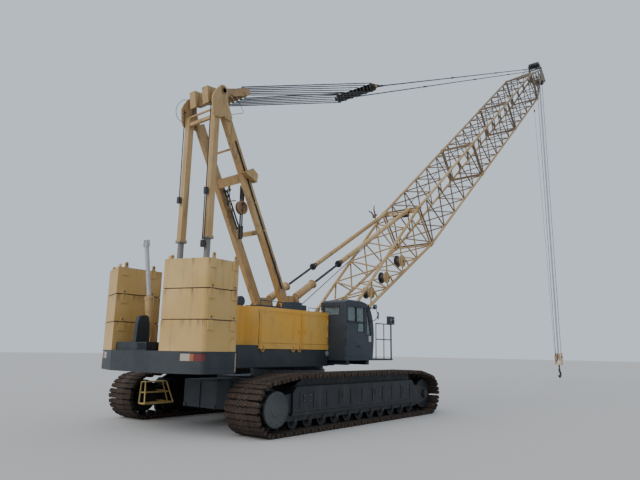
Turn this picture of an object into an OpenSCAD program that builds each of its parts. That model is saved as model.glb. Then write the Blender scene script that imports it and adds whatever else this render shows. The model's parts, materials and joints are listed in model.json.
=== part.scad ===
// Lattice boom crawler crane, standing on its tracks with its boom at the angle it is parked at.
// X points forward, Y to the left and Z up. All lengths are millimetres at full size.
// Places along the crane are measured from the axis that the upper turns about, and placed()
// then shifts the whole crane so that the middle of its box lies at the origin.

/* [Tracks] */
// Distance between the drive axle and the idler axle
track_axles = 8180; // [7000:10:9000]
// Distance between the middles of the two tracks
track_gauge = 5547; // [5200:1:6000]
// Width of one track shoe
shoe_w = 1219; // [900:1:1300]
// Outer radius of a track round its end wheels
wrap_r = 709; // [650:1:760]
// Height of the top run over its skid rails
top_run_z = 1560; // [1520:1:1640]
// Rear end of the raised top run
top_run_rear = -3060; // [-3200:10:-2900]
// Front end of the raised top run
top_run_front = 3500; // [3300:10:3600]
// Number of shoes in one track
shoes = 61; // [48:1:70]
// Thickness of a shoe and its pad
shoe_t = 110; // [80:1:130]
// Height of a drive lug inside the shoes
lug_h = 95; // [60:1:110]
// Depth of the gap between two shoes
shoe_gap_d = 46; // [20:1:60]

/* [Crawler frames] */
// Width of the box of a crawler frame
side_frame_w = 800; // [700:1:900]
// Half length of the box of a crawler frame
side_frame_half = 3250; // [3000:10:3300]
// Underside of the box of a crawler frame
side_frame_z = 540; // [530:1:640]
// Top of the box of a crawler frame
side_frame_top = 1230; // [1150:1:1300]
// Thickness of the cheek plates that hold the axles
cheek_t = 45; // [30:1:60]
// Number of track rollers on one side
roller_count = 11; // [8:1:12]
// Radius of a track roller
roller_r = 200; // [160:1:210]
// Distance between the first and the last track roller
roller_span = 6200; // [5600:10:6400]
// Radius of the round drive cover
drive_cover_r = 460; // [350:1:480]

/* [Carbody] */
// Half length of the middle box of the carbody
carbody_half = 1730; // [1500:1:1800]
// Underside of the carbody
carbody_z = 640; // [560:1:760]
// Top of the carbody
carbody_top = 1330; // [1280:1:1380]
// Half width of a carbody weight
carbody_weight_half_w = 1000; // [800:1:1700]
// Length of a carbody weight
carbody_weight_l = 2110; // [800:1:2200]
// Radius of the slew ring
slew_ring_r = 1300; // [1100:1:1400]
// Top of the fixed part of the slew ring
slew_ring_top = 1560; // [1500:1:1600]

/* [Upper frame] */
// Underside of the upper frame
deck_z = 1680; // [1660:1:1760]
// Top of the upper frame
deck_top = 2332; // [2200:1:2400]
// Half width of the upper frame beside the house
deck_half_w = 1680; // [1600:1:1699]
// Rear end of the upper frame
deck_rear = -4640; // [-4660:1:-4560]
// Front end of the wide part of the upper frame
deck_wide_front = 120; // [60:1:126]
// Front end of the upper frame
deck_front = 1900; // [1800:1:2200]
// Half width of the narrow front of the upper frame
deck_nose_half_w = 1200; // [1150:1:1240]

/* [Tail] */
// Underside of the tail tray
tray_z = 1580; // [1570:1:1650]
// Top of the tail tray, where the counterweights stand
tray_top = 2139; // [2000:1:2200]
// Front face of a counterweight stack
stack_front = -4676; // [-4700:1:-4600]
// Inner rear corner of a counterweight stack
stack_rear = -6165; // [-6300:1:-6000]
// Outer rear corner of a counterweight stack
stack_rear_out = -5722; // [-5900:1:-5500]
// Inner side of a counterweight stack
stack_in = 1116; // [1000:1:1200]
// Outer side of a counterweight stack
stack_out = 2372; // [2200:1:2400]
// Radius of the rounded outer rear corner of a stack and of the tray
stack_corner_r = 150; // [60:1:300]
// Height of one counterweight slab
slab_h = 800; // [600:1:900]
// Number of slabs in a stack
slabs = 3; // [1:1:4]

/* [House] */
// Half width of the machinery house
house_half_w = 1700; // [1690:1:1760]
// Rear end of the wide part of the house
house_wide_rear = -3169; // [-3300:1:-3000]
// Rear end of the house
house_rear = -4150; // [-4200:1:-4000]
// Half width of the rear of the house
house_rear_half_w = 1420; // [1300:1:1500]
// Front end of the house
house_front = 127; // [120:1:128]
// Underside of the house roof
house_roof_z = 3407; // [3300:1:3500]
// Thickness of the house walls, doors and roof
house_wall = 60; // [40:1:80]
// Seam between the two doors on a side
door_seam = -1244; // [-1600:1:-1000]
// Half width of the open bay round the hoist drum
bay_half_w = 900; // [850:1:1000]
// Rear end of the open bay round the hoist drum
bay_rear = -1560; // [-1700:1:-1500]

/* [Cab] */
// Right side of the cab
cab_right = -2403; // [-2500:1:-2350]
// Width of the cab
cab_w = 1050; // [950:1:1100]
// Rear end of the cab
cab_rear = 134; // [132:1:160]
// Front end of the cab at the floor
cab_front = 1753; // [1600:1:1800]
// Underside of the cab
cab_z = 1956; // [1900:1:2000]
// Height of the cab
cab_h = 1958; // [1800:1:2050]
// Thickness of the cab walls and door
cab_wall = 50; // [30:1:70]

/* [Gantry] */
// Distance of the gantry legs from the middle
leg_y = 640; // [600:1:700]
// Place of the pin at the foot of a front leg
leg_foot = [-995, 3776];
// Place of the top end of a front leg
leg_top = [-3998, 9520];
// Place of the foot of a rear strut
strut_foot = [-4425, 2332];
// Place of the top end of a rear strut
strut_top = [-4366, 9600];
// Width of a gantry leg across the crane
leg_w = 200; // [160:1:240]
// Depth of a gantry leg along the crane
leg_d = 290; // [220:1:320]
// Place of the axle of the head sheaves
head_axle = [-4200, 10220];
// Distance of the head plates from the middle
head_plate_y = 770; // [765:1:800]

/* [Boom] */
// Angle of the boom above level
boom_angle = 38.61; // [30:0.01:60]
// Place of the boom foot pin
boom_foot = [1293, 2437];
// How far the pendants' pin lies short of the top section's end
pendant_pin_short = 190; // [120:1:240]
// Height of the pendants' pin above the boom's middle line
pendant_pin_up = 290; // [270:1:320]
// How far the axle of the head sheaves lies past the top section's end
nose_past = 120; // [80:1:160]
// Depth of the axle of the head sheaves under the boom's middle line
nose_down = 930; // [880:1:960]
// How far the axle of the upper sheaves lies short of the top section's end
upper_sheave_short = 244; // [200:1:280]
// Height of the axle of the upper sheaves above the boom's middle line
upper_sheave_up = 640; // [600:1:700]
// How far behind the base section's end the backstops push on the boom
eye_back = 313; // [290:1:500]
// Height of the backstops' upper pins above the boom's middle line
eye_up = 1120; // [1110:1:1200]
// Half of the distance between the middles of two chords
boom_half = 987; // [800:1:1100]
// Length of the base section
base_l = 9173; // [8000:1:9400]
// Length of the first insert
insert_1_l = 8546; // [6000:1:9200]
// Length of the second insert
insert_2_l = 7985; // [6000:1:9200]
// Length of the third insert
insert_3_l = 7190; // [6000:1:9200]
// Length of the top section
top_l = 5400; // [4800:1:6000]
// Radius of a boom chord
chord_r = 66; // [50:1:80]
// Radius of a lacing tube
lace_r = 34; // [24:1:42]
// Radius of a sheave at the boom tip
tip_sheave_r = 290; // [240:1:310]
// Radius of an upper sheave at the boom tip
upper_sheave_r = 250; // [200:1:270]

/* [Stays] */
// Place of the pin at the foot of a backstop
backstop_foot = [-560, 3926];
// Distance of the backstops from the middle
backstop_y = 640; // [600:1:700]
// Place of the middle of the bridle
bridle_at = [4050, 13645];
// Half length of the bridle bar
bridle_half = 1105; // [900:1:1200]
// Radius of a boom hoist rope
rope_r = 13; // [10:1:18]
// Radius of a pendant
pendant_r = 28; // [14:1:32]

/* [Hook] */
// Height of the axle of the hook block above the ground
block_axle_z = 2000; // [1800:1:2600]
// Radius of a sheave in the hook block
block_sheave_r = 290; // [240:1:310]

/* [Hidden] */
$fn = 48;
// Gap at curved seats and running faces
seat = 0.3;
// Gap round a door, and between pieces that move past each other
run = 6;
// Inner height of the shoes' ring above the ground, and of the tips of its lugs
ring_in = shoe_t;
lug_in = shoe_t + lug_h;
axle_x = track_axles / 2;
tracks = [["right", -1], ["left", 1]];
// Ends of the boom's sections along it
s_base = base_l;
s_insert_1 = s_base + insert_1_l;
s_insert_2 = s_insert_1 + insert_2_l;
s_insert_3 = s_insert_2 + insert_3_l;
boom_l = s_insert_3 + top_l;
pendant_pin = [boom_l - pendant_pin_short, pendant_pin_up];
upper_axle = [boom_l - upper_sheave_short, upper_sheave_up];
nose = [boom_l + nose_past, -nose_down];
eye = [s_base - eye_back, eye_up];
// A place in the boom's own frame, seen from the swing axis
function boom_place(q) = boom_foot + [q[0] * cos(boom_angle) - q[1] * sin(boom_angle),
    q[0] * sin(boom_angle) + q[1] * cos(boom_angle)];
nose_at = boom_place(nose);
pendant_tip = boom_place(pendant_pin);
boom_eye = boom_place(eye);
// The hoist ropes hang beside the sheaves of the block and of the head, which are of one size
rope_out = block_sheave_r + rope_r + seat;
// Half length of the hook block's cheeks
cheek_half = 330;
// Distance from the swing axis to the middle of the crane's box
mid_x = (nose_at[0] + cheek_half + stack_rear) / 2;

// The crane's colours
orange_yellow = [0.80, 0.55, 0.18];
tan_yellow = [0.74, 0.60, 0.38];
blue_black = [0.10, 0.12, 0.17];
charcoal = [0.13, 0.14, 0.16];
mud_brown = [0.28, 0.22, 0.17];
grey_steel = [0.42, 0.44, 0.46];
rope_black = [0.08, 0.08, 0.09];

// Colours its children and moves them from the swing axis to the crane's own origin
module placed(c) {
    color(c) translate([-mid_x, 0, 0]) children();
}

// A flat plate in the plane of the crane's side view, with its middle at y
module plate(y, t, points) {
    translate([0, y + t / 2, 0]) rotate([90, 0, 0]) linear_extrude(t) polygon(points);
}

// A round bar across the crane, between y0 and y1
module cross_bar(at, r, y0, y1) {
    translate([at[0], y1, at[1]]) rotate([90, 0, 0]) cylinder(r = r, h = y1 - y0);
}

// A straight bar with n flat sides from a to b
module rod(a, b, r, n = 6) {
    d = b - a;
    l = norm(d);
    translate(a) rotate([0, acos(d[2] / l), atan2(d[1], d[0])]) cylinder(r = r, h = l, $fn = n);
}

// A box beam in the side plane from a to b, with its middle at y
module beam(a, b, y, w, d) {
    v = b - a;
    translate([a[0], y, a[1]]) rotate([0, -atan2(v[1], v[0]), 0])
        translate([0, -w / 2, -d / 2]) cube([norm(v), w, d]);
}

// A cuboid between two corners
module block(a, b) {
    translate(a) cube(b - a);
}

// Mirrors a second copy to the other side of the crane
module both_sides() {
    children();
    mirror([0, 1, 0]) children();
}

// Puts its children into the boom's own frame, X along the boom from the foot pin
module in_boom() {
    translate([boom_foot[0], 0, boom_foot[1]]) rotate([0, -boom_angle, 0]) children();
}

// The closed path of a track: bottom run, front wrap, slope, top run, slope and rear wrap
function slope_end(cx, hx) =
    let (v = [hx - cx, top_run_z - wrap_r], turn = acos(wrap_r / norm(v)))
    atan2(v[1], v[0]) + (hx > cx ? turn : -turn);
front_end = slope_end(axle_x, top_run_front);
rear_end = slope_end(-axle_x, top_run_rear);
function wrap_at(cx, a, off) = [cx + (wrap_r - off) * cos(a), wrap_r + (wrap_r - off) * sin(a)];
front_slope = norm([top_run_front, top_run_z] - wrap_at(axle_x, front_end, 0));
rear_slope = norm([top_run_rear, top_run_z] - wrap_at(-axle_x, rear_end, 0));
// Columns: length of the stretch, then what it is
front_arc = wrap_r * (front_end + 90) * PI / 180;
rear_arc = wrap_r * (270 - rear_end) * PI / 180;
s1 = track_axles;
s2 = s1 + front_arc;
s3 = s2 + front_slope;
s4 = s3 + top_run_front - top_run_rear;
s5 = s4 + rear_slope;
track_l = s5 + rear_arc;
pitch = track_l / shoes;
function inward(a, b) = let (d = (b - a) / norm(b - a)) [-d[1], d[0]];
function along(a, b, s, off) = a + (b - a) * s / norm(b - a) + inward(a, b) * off;
function track_at(s_in, off) =
    let (s = s_in < 0 ? s_in + track_l : s_in)
    s < s1 ? [-axle_x + s, off]
    : s < s2 ? wrap_at(axle_x, -90 + (s - s1) / wrap_r * 180 / PI, off)
    : s < s3 ? along(wrap_at(axle_x, front_end, 0), [top_run_front, top_run_z], s - s2, off)
    : s < s4 ? [top_run_front - (s - s3), top_run_z - off]
    : s < s5 ? along([top_run_rear, top_run_z], wrap_at(-axle_x, rear_end, 0), s - s4, off)
    : wrap_at(-axle_x, rear_end + (s - s5) / wrap_r * 180 / PI, off);
// A shoe's outer edge and a lug's inner edge. Columns: share of the pitch, depth below the tread
shoe_edge = [[0.03, shoe_gap_d], [0.06, 0], [0.94, 0], [0.97, shoe_gap_d]];
lug_edge = [[0.05, shoe_t - 20], [0.34, shoe_t - 20], [0.36, lug_in], [0.64, lug_in],
    [0.66, shoe_t - 20], [0.95, shoe_t - 20]];
function round_track(edge) =
    [for (i = [0 : shoes - 1], e = edge) track_at((i + e[0]) * pitch, e[1])];
lug_half_angle = 0.14 * pitch / wrap_r * 180 / PI;
tumbler_r = (wrap_r - lug_in) * cos(lug_half_angle) - seat;

module track(side) {
    y = side * track_gauge / 2;
    translate([0, y + shoe_w / 2, 0]) rotate([90, 0, 0]) linear_extrude(shoe_w)
        difference() {
            polygon(round_track(shoe_edge));
            polygon(round_track([[0, shoe_t], [0.5, shoe_t]]));
        }
    lug_w = 300;
    translate([0, y + lug_w / 2, 0]) rotate([90, 0, 0]) linear_extrude(lug_w)
        difference() {
            polygon(round_track([[0, shoe_t - 30], [0.5, shoe_t - 30]]));
            polygon(round_track(lug_edge));
        }
}
module track_right() placed(mud_brown) track(-1);
module track_left() placed(mud_brown) track(1);

// Crawler frame: a box, two cheek plates that reach the axles, and skid rails on top
cheek_y = 322;
cheek_low = 330;
module crawler_frame(side) {
    y = side * track_gauge / 2;
    end_r = 225;
    box_w = side_frame_w;
    plate(y, box_w, [[-side_frame_half, side_frame_z], [side_frame_half, side_frame_z],
        [side_frame_half, side_frame_top - 150], [side_frame_half - 150, side_frame_top],
        [-side_frame_half + 150, side_frame_top], [-side_frame_half, side_frame_top - 150]]);
    for (s = [-1, 1]) {
        translate([0, y + s * cheek_y, 0]) {
            plate(0, cheek_t, [[-side_frame_half - 100, cheek_low], [side_frame_half + 100, cheek_low],
                [axle_x, wrap_r - end_r], [axle_x, wrap_r + end_r],
                [side_frame_half, side_frame_top - 160], [-side_frame_half, side_frame_top - 160],
                [-axle_x, wrap_r + end_r], [-axle_x, wrap_r - end_r]]);
            for (e = [-1, 1]) cross_bar([e * axle_x, wrap_r], end_r, -cheek_t / 2, cheek_t / 2);
        }
        plate(y + s * 210, 90, [[-side_frame_half + 150, side_frame_top - 10],
            [top_run_rear + 400, top_run_z - shoe_t - seat], [top_run_front - 400, top_run_z - shoe_t - seat],
            [side_frame_half - 100, side_frame_top - 10]]);
    }
    rail_y = y + side * (side_frame_w / 2);
    plate(rail_y - side * 20, 100, [[-side_frame_half - 60, side_frame_z - 60],
        [side_frame_half + 60, side_frame_z - 60], [side_frame_half + 60, side_frame_z],
        [-side_frame_half - 60, side_frame_z]]);
}
module crawler_frame_right() placed(blue_black) crawler_frame(-1);
module crawler_frame_left() placed(blue_black) crawler_frame(1);

module drive_tumblers() placed(grey_steel) for (t = tracks) {
    y = t[1] * track_gauge / 2;
    in_y = cheek_y - cheek_t / 2;
    out_y = cheek_y + cheek_t / 2;
    cross_bar([-axle_x, wrap_r], tumbler_r, y - 270, y + 270);
    cross_bar([-axle_x, wrap_r], 160, y - in_y, y + in_y);
    cover = [y + t[1] * out_y, y + t[1] * (shoe_w / 2 - 20)];
    cross_bar([-axle_x, wrap_r], drive_cover_r, min(cover), max(cover));
    hub = [y - t[1] * out_y, y - t[1] * 560];
    cross_bar([-axle_x, wrap_r], 300, min(hub), max(hub));
}

module idler_wheels() placed(blue_black) for (t = tracks) {
    y = t[1] * track_gauge / 2;
    in_y = cheek_y - cheek_t / 2;
    out_y = cheek_y + cheek_t / 2;
    cross_bar([axle_x, wrap_r], tumbler_r, y - 270, y + 270);
    cross_bar([axle_x, wrap_r], 110, y - in_y, y + in_y);
    for (s = [-1, 1]) {
        cap = [y + s * out_y, y + s * (out_y + 55)];
        cross_bar([axle_x, wrap_r], 150, min(cap), max(cap));
    }
}

module track_rollers() placed(blue_black) for (t = tracks, i = [0 : roller_count - 1]) {
    y = t[1] * track_gauge / 2;
    x = -roller_span / 2 + i * roller_span / (roller_count - 1);
    z = ring_in + seat + roller_r;
    in_y = cheek_y - cheek_t / 2;
    cross_bar([x, z], roller_r - lug_h - 5, y - in_y, y + in_y);
    for (s = [-1, 1]) {
        rim = [y + s * 160, y + s * 270];
        cross_bar([x, z], roller_r, min(rim), max(rim));
    }
}

// Carbody: middle box with two cross arms that reach the crawler frames
arm_x = 1440;
arm_half = 280;
frame_in_y = track_gauge / 2 - side_frame_w / 2;
module carbody() placed(blue_black) {
    block([-carbody_half, -carbody_half, carbody_z], [carbody_half, carbody_half, carbody_top]);
    for (x = [-arm_x, arm_x])
        block([x - arm_half, -frame_in_y, carbody_z + 100], [x + arm_half, frame_in_y, carbody_top - 150]);
}
module slew_ring() placed(grey_steel)
    translate([0, 0, carbody_top]) cylinder(r = slew_ring_r, h = slew_ring_top - carbody_top);
weight_low = carbody_z - 130;
weight_high = carbody_top - 40;
module carbody_weights() placed(grey_steel) for (s = [-1, 1]) {
    a = carbody_half;
    b = carbody_half + carbody_weight_l;
    v = carbody_weight_half_w;
    cut = v / 4;
    translate([0, 0, weight_low]) linear_extrude(weight_high - weight_low)
        polygon([[s * a, -v], [s * (b - cut), -v], [s * b, -v + cut], [s * b, v - cut], [s * (b - cut), v], [s * a, v]]);
    // A rib up the middle of the end face, and a tab at each of its lower corners
    rib = [s * b, s * (b + 30)];
    block([min(rib), -25, weight_low], [max(rib), 25, weight_high]);
    for (y = [-v + cut + 70, v - cut - 70])
        block([min(rib), y - 60, weight_low], [max(rib), y + 60, weight_low + 110]);
}
// Steps up to the deck on the left: a stand on four legs, held by two bars that reach through the track's ring
step_gap = 114;
step_w = 300;
step_outer = track_gauge / 2 - shoe_w / 2 - step_gap;
step_y = [step_outer - step_w, step_outer];
step_low = [-4540, -3490];
step_top = [-4520, -3760];
step_z = [530, 860, 1180];
module frame_steps() placed(orange_yellow) {
    for (y = step_y, i = [0, 1]) {
        inner = y + (y == step_y[0] ? 40 : -40);
        rod([step_low[i], y, step_z[0]], [step_top[i], inner, step_z[2]], 24, 4);
        rod([step_low[0], y, step_z[0]], [step_low[1], y, step_z[0]], 24, 4);
        rod([step_low[i], step_y[0], step_z[0]], [step_low[i], step_y[1], step_z[0]], 24, 4);
    }
    block([step_top[0], step_y[0] + 30, step_z[2] - 15], [step_top[1], step_y[1] - 30, step_z[2] + 15]);
    block([step_top[0] - 5, step_y[0] + 20, step_z[1] - 15], [step_low[1] - 140, step_y[1] - 20, step_z[1] + 15]);
    for (z = [560, step_z[1] + 20])
        cross_bar([step_low[1] - 170, z], 26, step_y[1] - 60, track_gauge / 2 - cheek_y - cheek_t / 2);
}

// Upper frame: turntable, deck plate, main beams, side frames, nose and the lugs of the boom foot
beam_y = 760;
foot_y = 880;
foot_lug_t = 130;
module upper_frame() placed(blue_black) {
    translate([0, 0, slew_ring_top + seat]) cylinder(r = slew_ring_r - 60, h = deck_z + 60 - slew_ring_top);
    both_sides() {
        plate(beam_y, 90, [[deck_rear, deck_z + 120], [-2400, deck_z], [deck_front - 300, deck_z],
            [deck_front, deck_z + 200], [deck_front, deck_top - 20], [deck_rear, deck_top - 20]]);
        block([deck_rear + 200, deck_half_w - 70, deck_z + 20], [deck_wide_front, deck_half_w, deck_top - 20]);
        for (y = [foot_y - foot_lug_t / 2 - 35, foot_y + foot_lug_t / 2 + 35])
            difference() {
                union() {
                    plate(y, 50, [[boom_foot[0] - 260, deck_top - 40], [boom_foot[0] + 260, deck_top - 40],
                        [boom_foot[0] + 120, boom_foot[1] + 90], [boom_foot[0] - 120, boom_foot[1] + 90]]);
                    cross_bar(boom_foot, 150, y - 25, y + 25);
                }
                cross_bar(boom_foot, 62, y - 30, y + 30);
            }
        cross_bar(boom_foot, 62, foot_y - foot_lug_t / 2 - 90, foot_y + foot_lug_t / 2 + 90);
    }
    difference() {
        union() {
            block([deck_rear, -deck_half_w, deck_top - 42], [deck_wide_front, deck_half_w, deck_top]);
            block([deck_wide_front - 10, -deck_nose_half_w, deck_top - 42], [deck_front, deck_nose_half_w, deck_top]);
        }
        for (s = [-1, 1])
            block([boom_foot[0] - 240, s * foot_y - foot_lug_t / 2 - 9, deck_top - 60],
                [boom_foot[0] + 240, s * foot_y + foot_lug_t / 2 + 9, deck_top + 10]);
    }
    for (x = [-3800, -2900, -1900, -1240, 1100, deck_front - 60])
        block([x, -beam_y, deck_z + 130], [x + 60, beam_y, deck_top - 20]);
    for (x = [-3800, -2600, -1300, deck_wide_front - 60])
        both_sides() block([x, beam_y, deck_z + 150], [x + 60, deck_half_w, deck_top - 20]);
}

// Tail tray: carries the stacks, with the same slanted rear corners
// Runs along the slanted rear face from its inner corner, then round the rounded outer corner
slant = atan2(stack_out - stack_in, stack_rear_out - stack_rear);
slant_way = [cos(slant), sin(slant)];
corner_t = stack_corner_r * tan(slant / 2);
corner_at = [stack_rear_out + corner_t, stack_out - stack_corner_r];
slant_l = norm([stack_rear_out - stack_rear, stack_out - stack_in]) - corner_t;
function rear_edge(s, off) = s < slant_l
    ? [stack_rear, stack_in] + slant_way * s + off * [-slant_way[1], slant_way[0]]
    : let (a = 90 + slant - (s - slant_l) / stack_corner_r * 180 / PI)
        corner_at + (stack_corner_r + off) * [cos(a), sin(a)];
corner_l = stack_corner_r * slant * PI / 180;
function rear_outline(off) = concat([rear_edge(0, off)],
    [for (i = [0 : 6]) rear_edge(slant_l + corner_l * i / 6, off)]);
// Tail lamps in the slanted face. Columns: start and end along the face
lamp_parts = [[650, 930], [934, 1040], [1044, 1380]];
lamp_z = [1900, 2080];
lamp_depth = 45;
module rear_strip(s0, s1, off0, off1) {
    polygon(concat([for (i = [0 : 5]) rear_edge(s0 + (s1 - s0) * i / 5, off1)],
        [for (i = [5 : -1 : 0]) rear_edge(s0 + (s1 - s0) * i / 5, off0)]));
}
module tail_tray() placed(blue_black) {
    lip = 90;
    difference() {
        translate([0, 0, tray_z]) linear_extrude(tray_top - tray_z) union() {
            both_sides() polygon(concat(rear_outline(0), [[deck_rear, stack_out], [deck_rear, 0], [stack_rear, 0]]));
        }
        both_sides() translate([0, 0, lamp_z[0]]) linear_extrude(lamp_z[1] - lamp_z[0] + 10)
            rear_strip(lamp_parts[0][0] - 10, lamp_parts[2][1] + 10, -lamp_depth, 20);
    }
    block([deck_rear - 900, -stack_in + 120, tray_top - 10], [deck_rear, stack_in - 120, tray_top + lip]);
}
module tail_lamps() placed([0.8, 0.3, 0.2]) both_sides() for (p = lamp_parts)
    translate([0, 0, lamp_z[0]]) linear_extrude(lamp_z[1] - lamp_z[0]) rear_strip(p[0], p[1], 5 - lamp_depth, -5);

// A link plate that holds two slabs together, seen from the side. z: height of the seam
link_plate_t = 25;
module link_plate(x, y, z) difference() {
    plate(y, link_plate_t, [[x - 100, z - 240], [x + 100, z - 240], [x + 100, z - 10], [x + 55, z + 15],
        [x + 55, z + 120], [x + 30, z + 155], [x - 30, z + 155], [x - 55, z + 120], [x - 55, z + 15], [x - 100, z - 10]]);
    cross_bar([x, z + 95], 24, y - link_plate_t, y + link_plate_t);
}
module stack() {
    groove = 22;
    plan = concat([[stack_front, stack_in]], rear_outline(0), [[stack_front, stack_out]]);
    inner = concat([[stack_front - groove, stack_in + groove], [stack_rear + groove, stack_in + groove]],
        [for (i = [0 : 6]) rear_edge(slant_l + corner_l * i / 6, -groove)], [[stack_front - groove, stack_out - groove]]);
    for (i = [0 : slabs - 1]) {
        z = tray_top + i * slab_h;
        translate([0, 0, z]) linear_extrude(slab_h - groove) polygon(plan);
        if (i < slabs - 1)
            translate([0, 0, z + slab_h - groove - 1]) linear_extrude(groove + 2) polygon(inner);
        for (x = [-5560, -4800]) link_plate(x, stack_out + link_plate_t / 2 - 1, z + slab_h - groove);
        for (x = [-5920, -5000]) link_plate(x, stack_in - link_plate_t / 2 + 1, z + slab_h - groove);
    }
    // Small lugs: on top at the inner rear corner, and at the foot of the front outer corner
    block([stack_rear + 80, stack_in + 40, tray_top + slabs * slab_h - 40],
        [stack_rear + 110, stack_in + 130, tray_top + slabs * slab_h + 70]);
    link_plate(stack_front - 110, stack_out + link_plate_t / 2 - 1, tray_top + 245);
}
module counterweight_right() placed(tan_yellow) mirror([0, 1, 0]) stack();
module counterweight_left() placed(tan_yellow) stack();

// Between the stacks: a flat box with a grille box beside it, and the curved guard of the weight cylinder
gear_z = tray_top + 90;
module tail_gear() placed(charcoal) {
    block([-6040, 60, tray_top], [deck_rear - 900, stack_in - 15, tray_top + 225]);
    difference() {
        block([-6040, -370, tray_top], [deck_rear - 900, 45, tray_top + 225]);
        for (i = [0 : 7]) block([-6050, -340 + i * 47, tray_top + 25], [-5990, -315 + i * 47, tray_top + 200]);
    }
    plate(330, 160, [[-5970, tray_top + 225], [-5960, 2480], [-5940, 2900], [-5900, 3050], [-5800, 3100], [-5680, 3110],
        [-5610, 3070], [-5570, 2900], [-5550, 2570], [-5550, tray_top + 225]]);
}

// Machinery house: hollow walls and roof round the engine room and the two side cabinets
house_plan = [[house_front, -house_half_w], [house_front, house_half_w], [house_wide_rear, house_half_w],
    [house_wide_rear - 330, house_rear_half_w], [house_rear, house_rear_half_w],
    [house_rear, -house_rear_half_w], [house_wide_rear - 330, -house_rear_half_w],
    [house_wide_rear, -house_half_w]];
w = house_wall;
room_plan = [[house_front - w, -house_half_w + w], [house_front - w, house_half_w - w],
    [house_wide_rear + w / 2, house_half_w - w], [house_wide_rear - 330 + w / 2, house_rear_half_w - w],
    [house_rear + w, house_rear_half_w - w], [house_rear + w, -house_rear_half_w + w],
    [house_wide_rear - 330 + w / 2, -house_rear_half_w + w], [house_wide_rear + w / 2, -house_half_w + w]];
door_z = deck_top + 60;
door_top = house_roof_z - 60;
door_rear = house_wide_rear + 70;
door_front = house_front - 70;
post = 60;
module bay_square(grow) {
    translate([bay_rear - grow, -bay_half_w - grow])
        square([house_front - bay_rear + 2 * grow + 10, 2 * (bay_half_w + grow)]);
}
module house_shell() placed(orange_yellow) {
    house_walls();
    for (s = [-1, 1]) {
        hinge_fixed([front_hinge, s * hinge_y], 1, s, door_z);
        hinge_fixed([rear_hinge, s * hinge_y], -1, s, door_z);
    }
}
module house_walls() difference() {
    translate([0, 0, deck_top]) union() {
        linear_extrude(house_roof_z - deck_top) difference() {
            difference() {
                polygon(house_plan);
                bay_square(0);
            }
            difference() {
                polygon(room_plan);
                bay_square(w);
            }
        }
        translate([0, 0, house_roof_z - deck_top]) linear_extrude(w) difference() {
            polygon(house_plan);
            bay_square(0);
        }
    }
    for (s = [-1, 1], d = [[door_rear, door_seam - post / 2], [door_seam + post / 2, door_front]])
        block([d[0], s * house_half_w - 100, door_z], [d[1], s * house_half_w + 100, door_top]);
}
// Hinges: knuckles with leaves, in turn on the door and on its post
knuckle_r = 14;
hinge_zs = [250, 650];
knuckle_h = 60;
// at: place of the pin. way: -1 or 1, where the leaf lies along X. side: where outside is
module hinge_leaf(at, way, side, z, h) {
    leaf = [at[0], at[0] + way * 50];
    out = [at[1] - side * knuckle_r, at[1]];
    translate([at[0], at[1], z]) cylinder(r = knuckle_r, h = h);
    block([min(leaf), min(out), z], [max(leaf), max(out), z + h]);
}
module hinge_fixed(at, way, side, base) for (z = hinge_zs) {
    hinge_leaf(at, way, side, base + z, knuckle_h);
    hinge_leaf(at, way, side, base + z + 2 * knuckle_h + 2 * seat, knuckle_h);
}
module hinge_moving(at, way, side, base) for (z = hinge_zs)
    hinge_leaf(at, way, side, base + z + knuckle_h + seat, knuckle_h);
front_hinge = door_front - run / 2;
rear_hinge = door_rear + run / 2;
hinge_y = house_half_w + knuckle_r;
module house_door(side, x0, x1, pin, way) {
    y = [side * house_half_w, side * (house_half_w - w)];
    block([x0 + run, min(y), door_z + run], [x1 - run, max(y), door_top - run]);
    hinge_moving([pin, side * hinge_y], way, side, door_z);
}
module house_door_right_front() placed(orange_yellow)
    house_door(-1, door_seam + post / 2, door_front, front_hinge, -1);
module house_door_right_rear() placed(orange_yellow)
    house_door(-1, door_rear, door_seam - post / 2, rear_hinge, 1);
module house_door_left_front() placed(orange_yellow)
    house_door(1, door_seam + post / 2, door_front, front_hinge, -1);
module house_door_left_rear() placed(orange_yellow)
    house_door(1, door_rear, door_seam - post / 2, rear_hinge, 1);

module engine_block() placed(grey_steel)
    block([-3750, -450, deck_top], [-2150, 450, deck_top + 850]);
module air_cleaner() placed(charcoal) {
    cross_bar([-3500, house_roof_z + w + 150 + seat], 150, -1250, -750);
    block([-3560, -1100, house_roof_z + w], [-3440, -900, house_roof_z + w + 20]);
}
drum_at = [-350, 2760];
module hoist_drum() placed(grey_steel) {
    cross_bar(drum_at, 330, -430, 430);
    for (s = [-1, 1]) {
        flange = [s * 430, s * 480];
        cross_bar(drum_at, 400, min(flange), max(flange));
    }
    cross_bar(drum_at, 90, -pedestal_in, pedestal_in);
}

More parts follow.
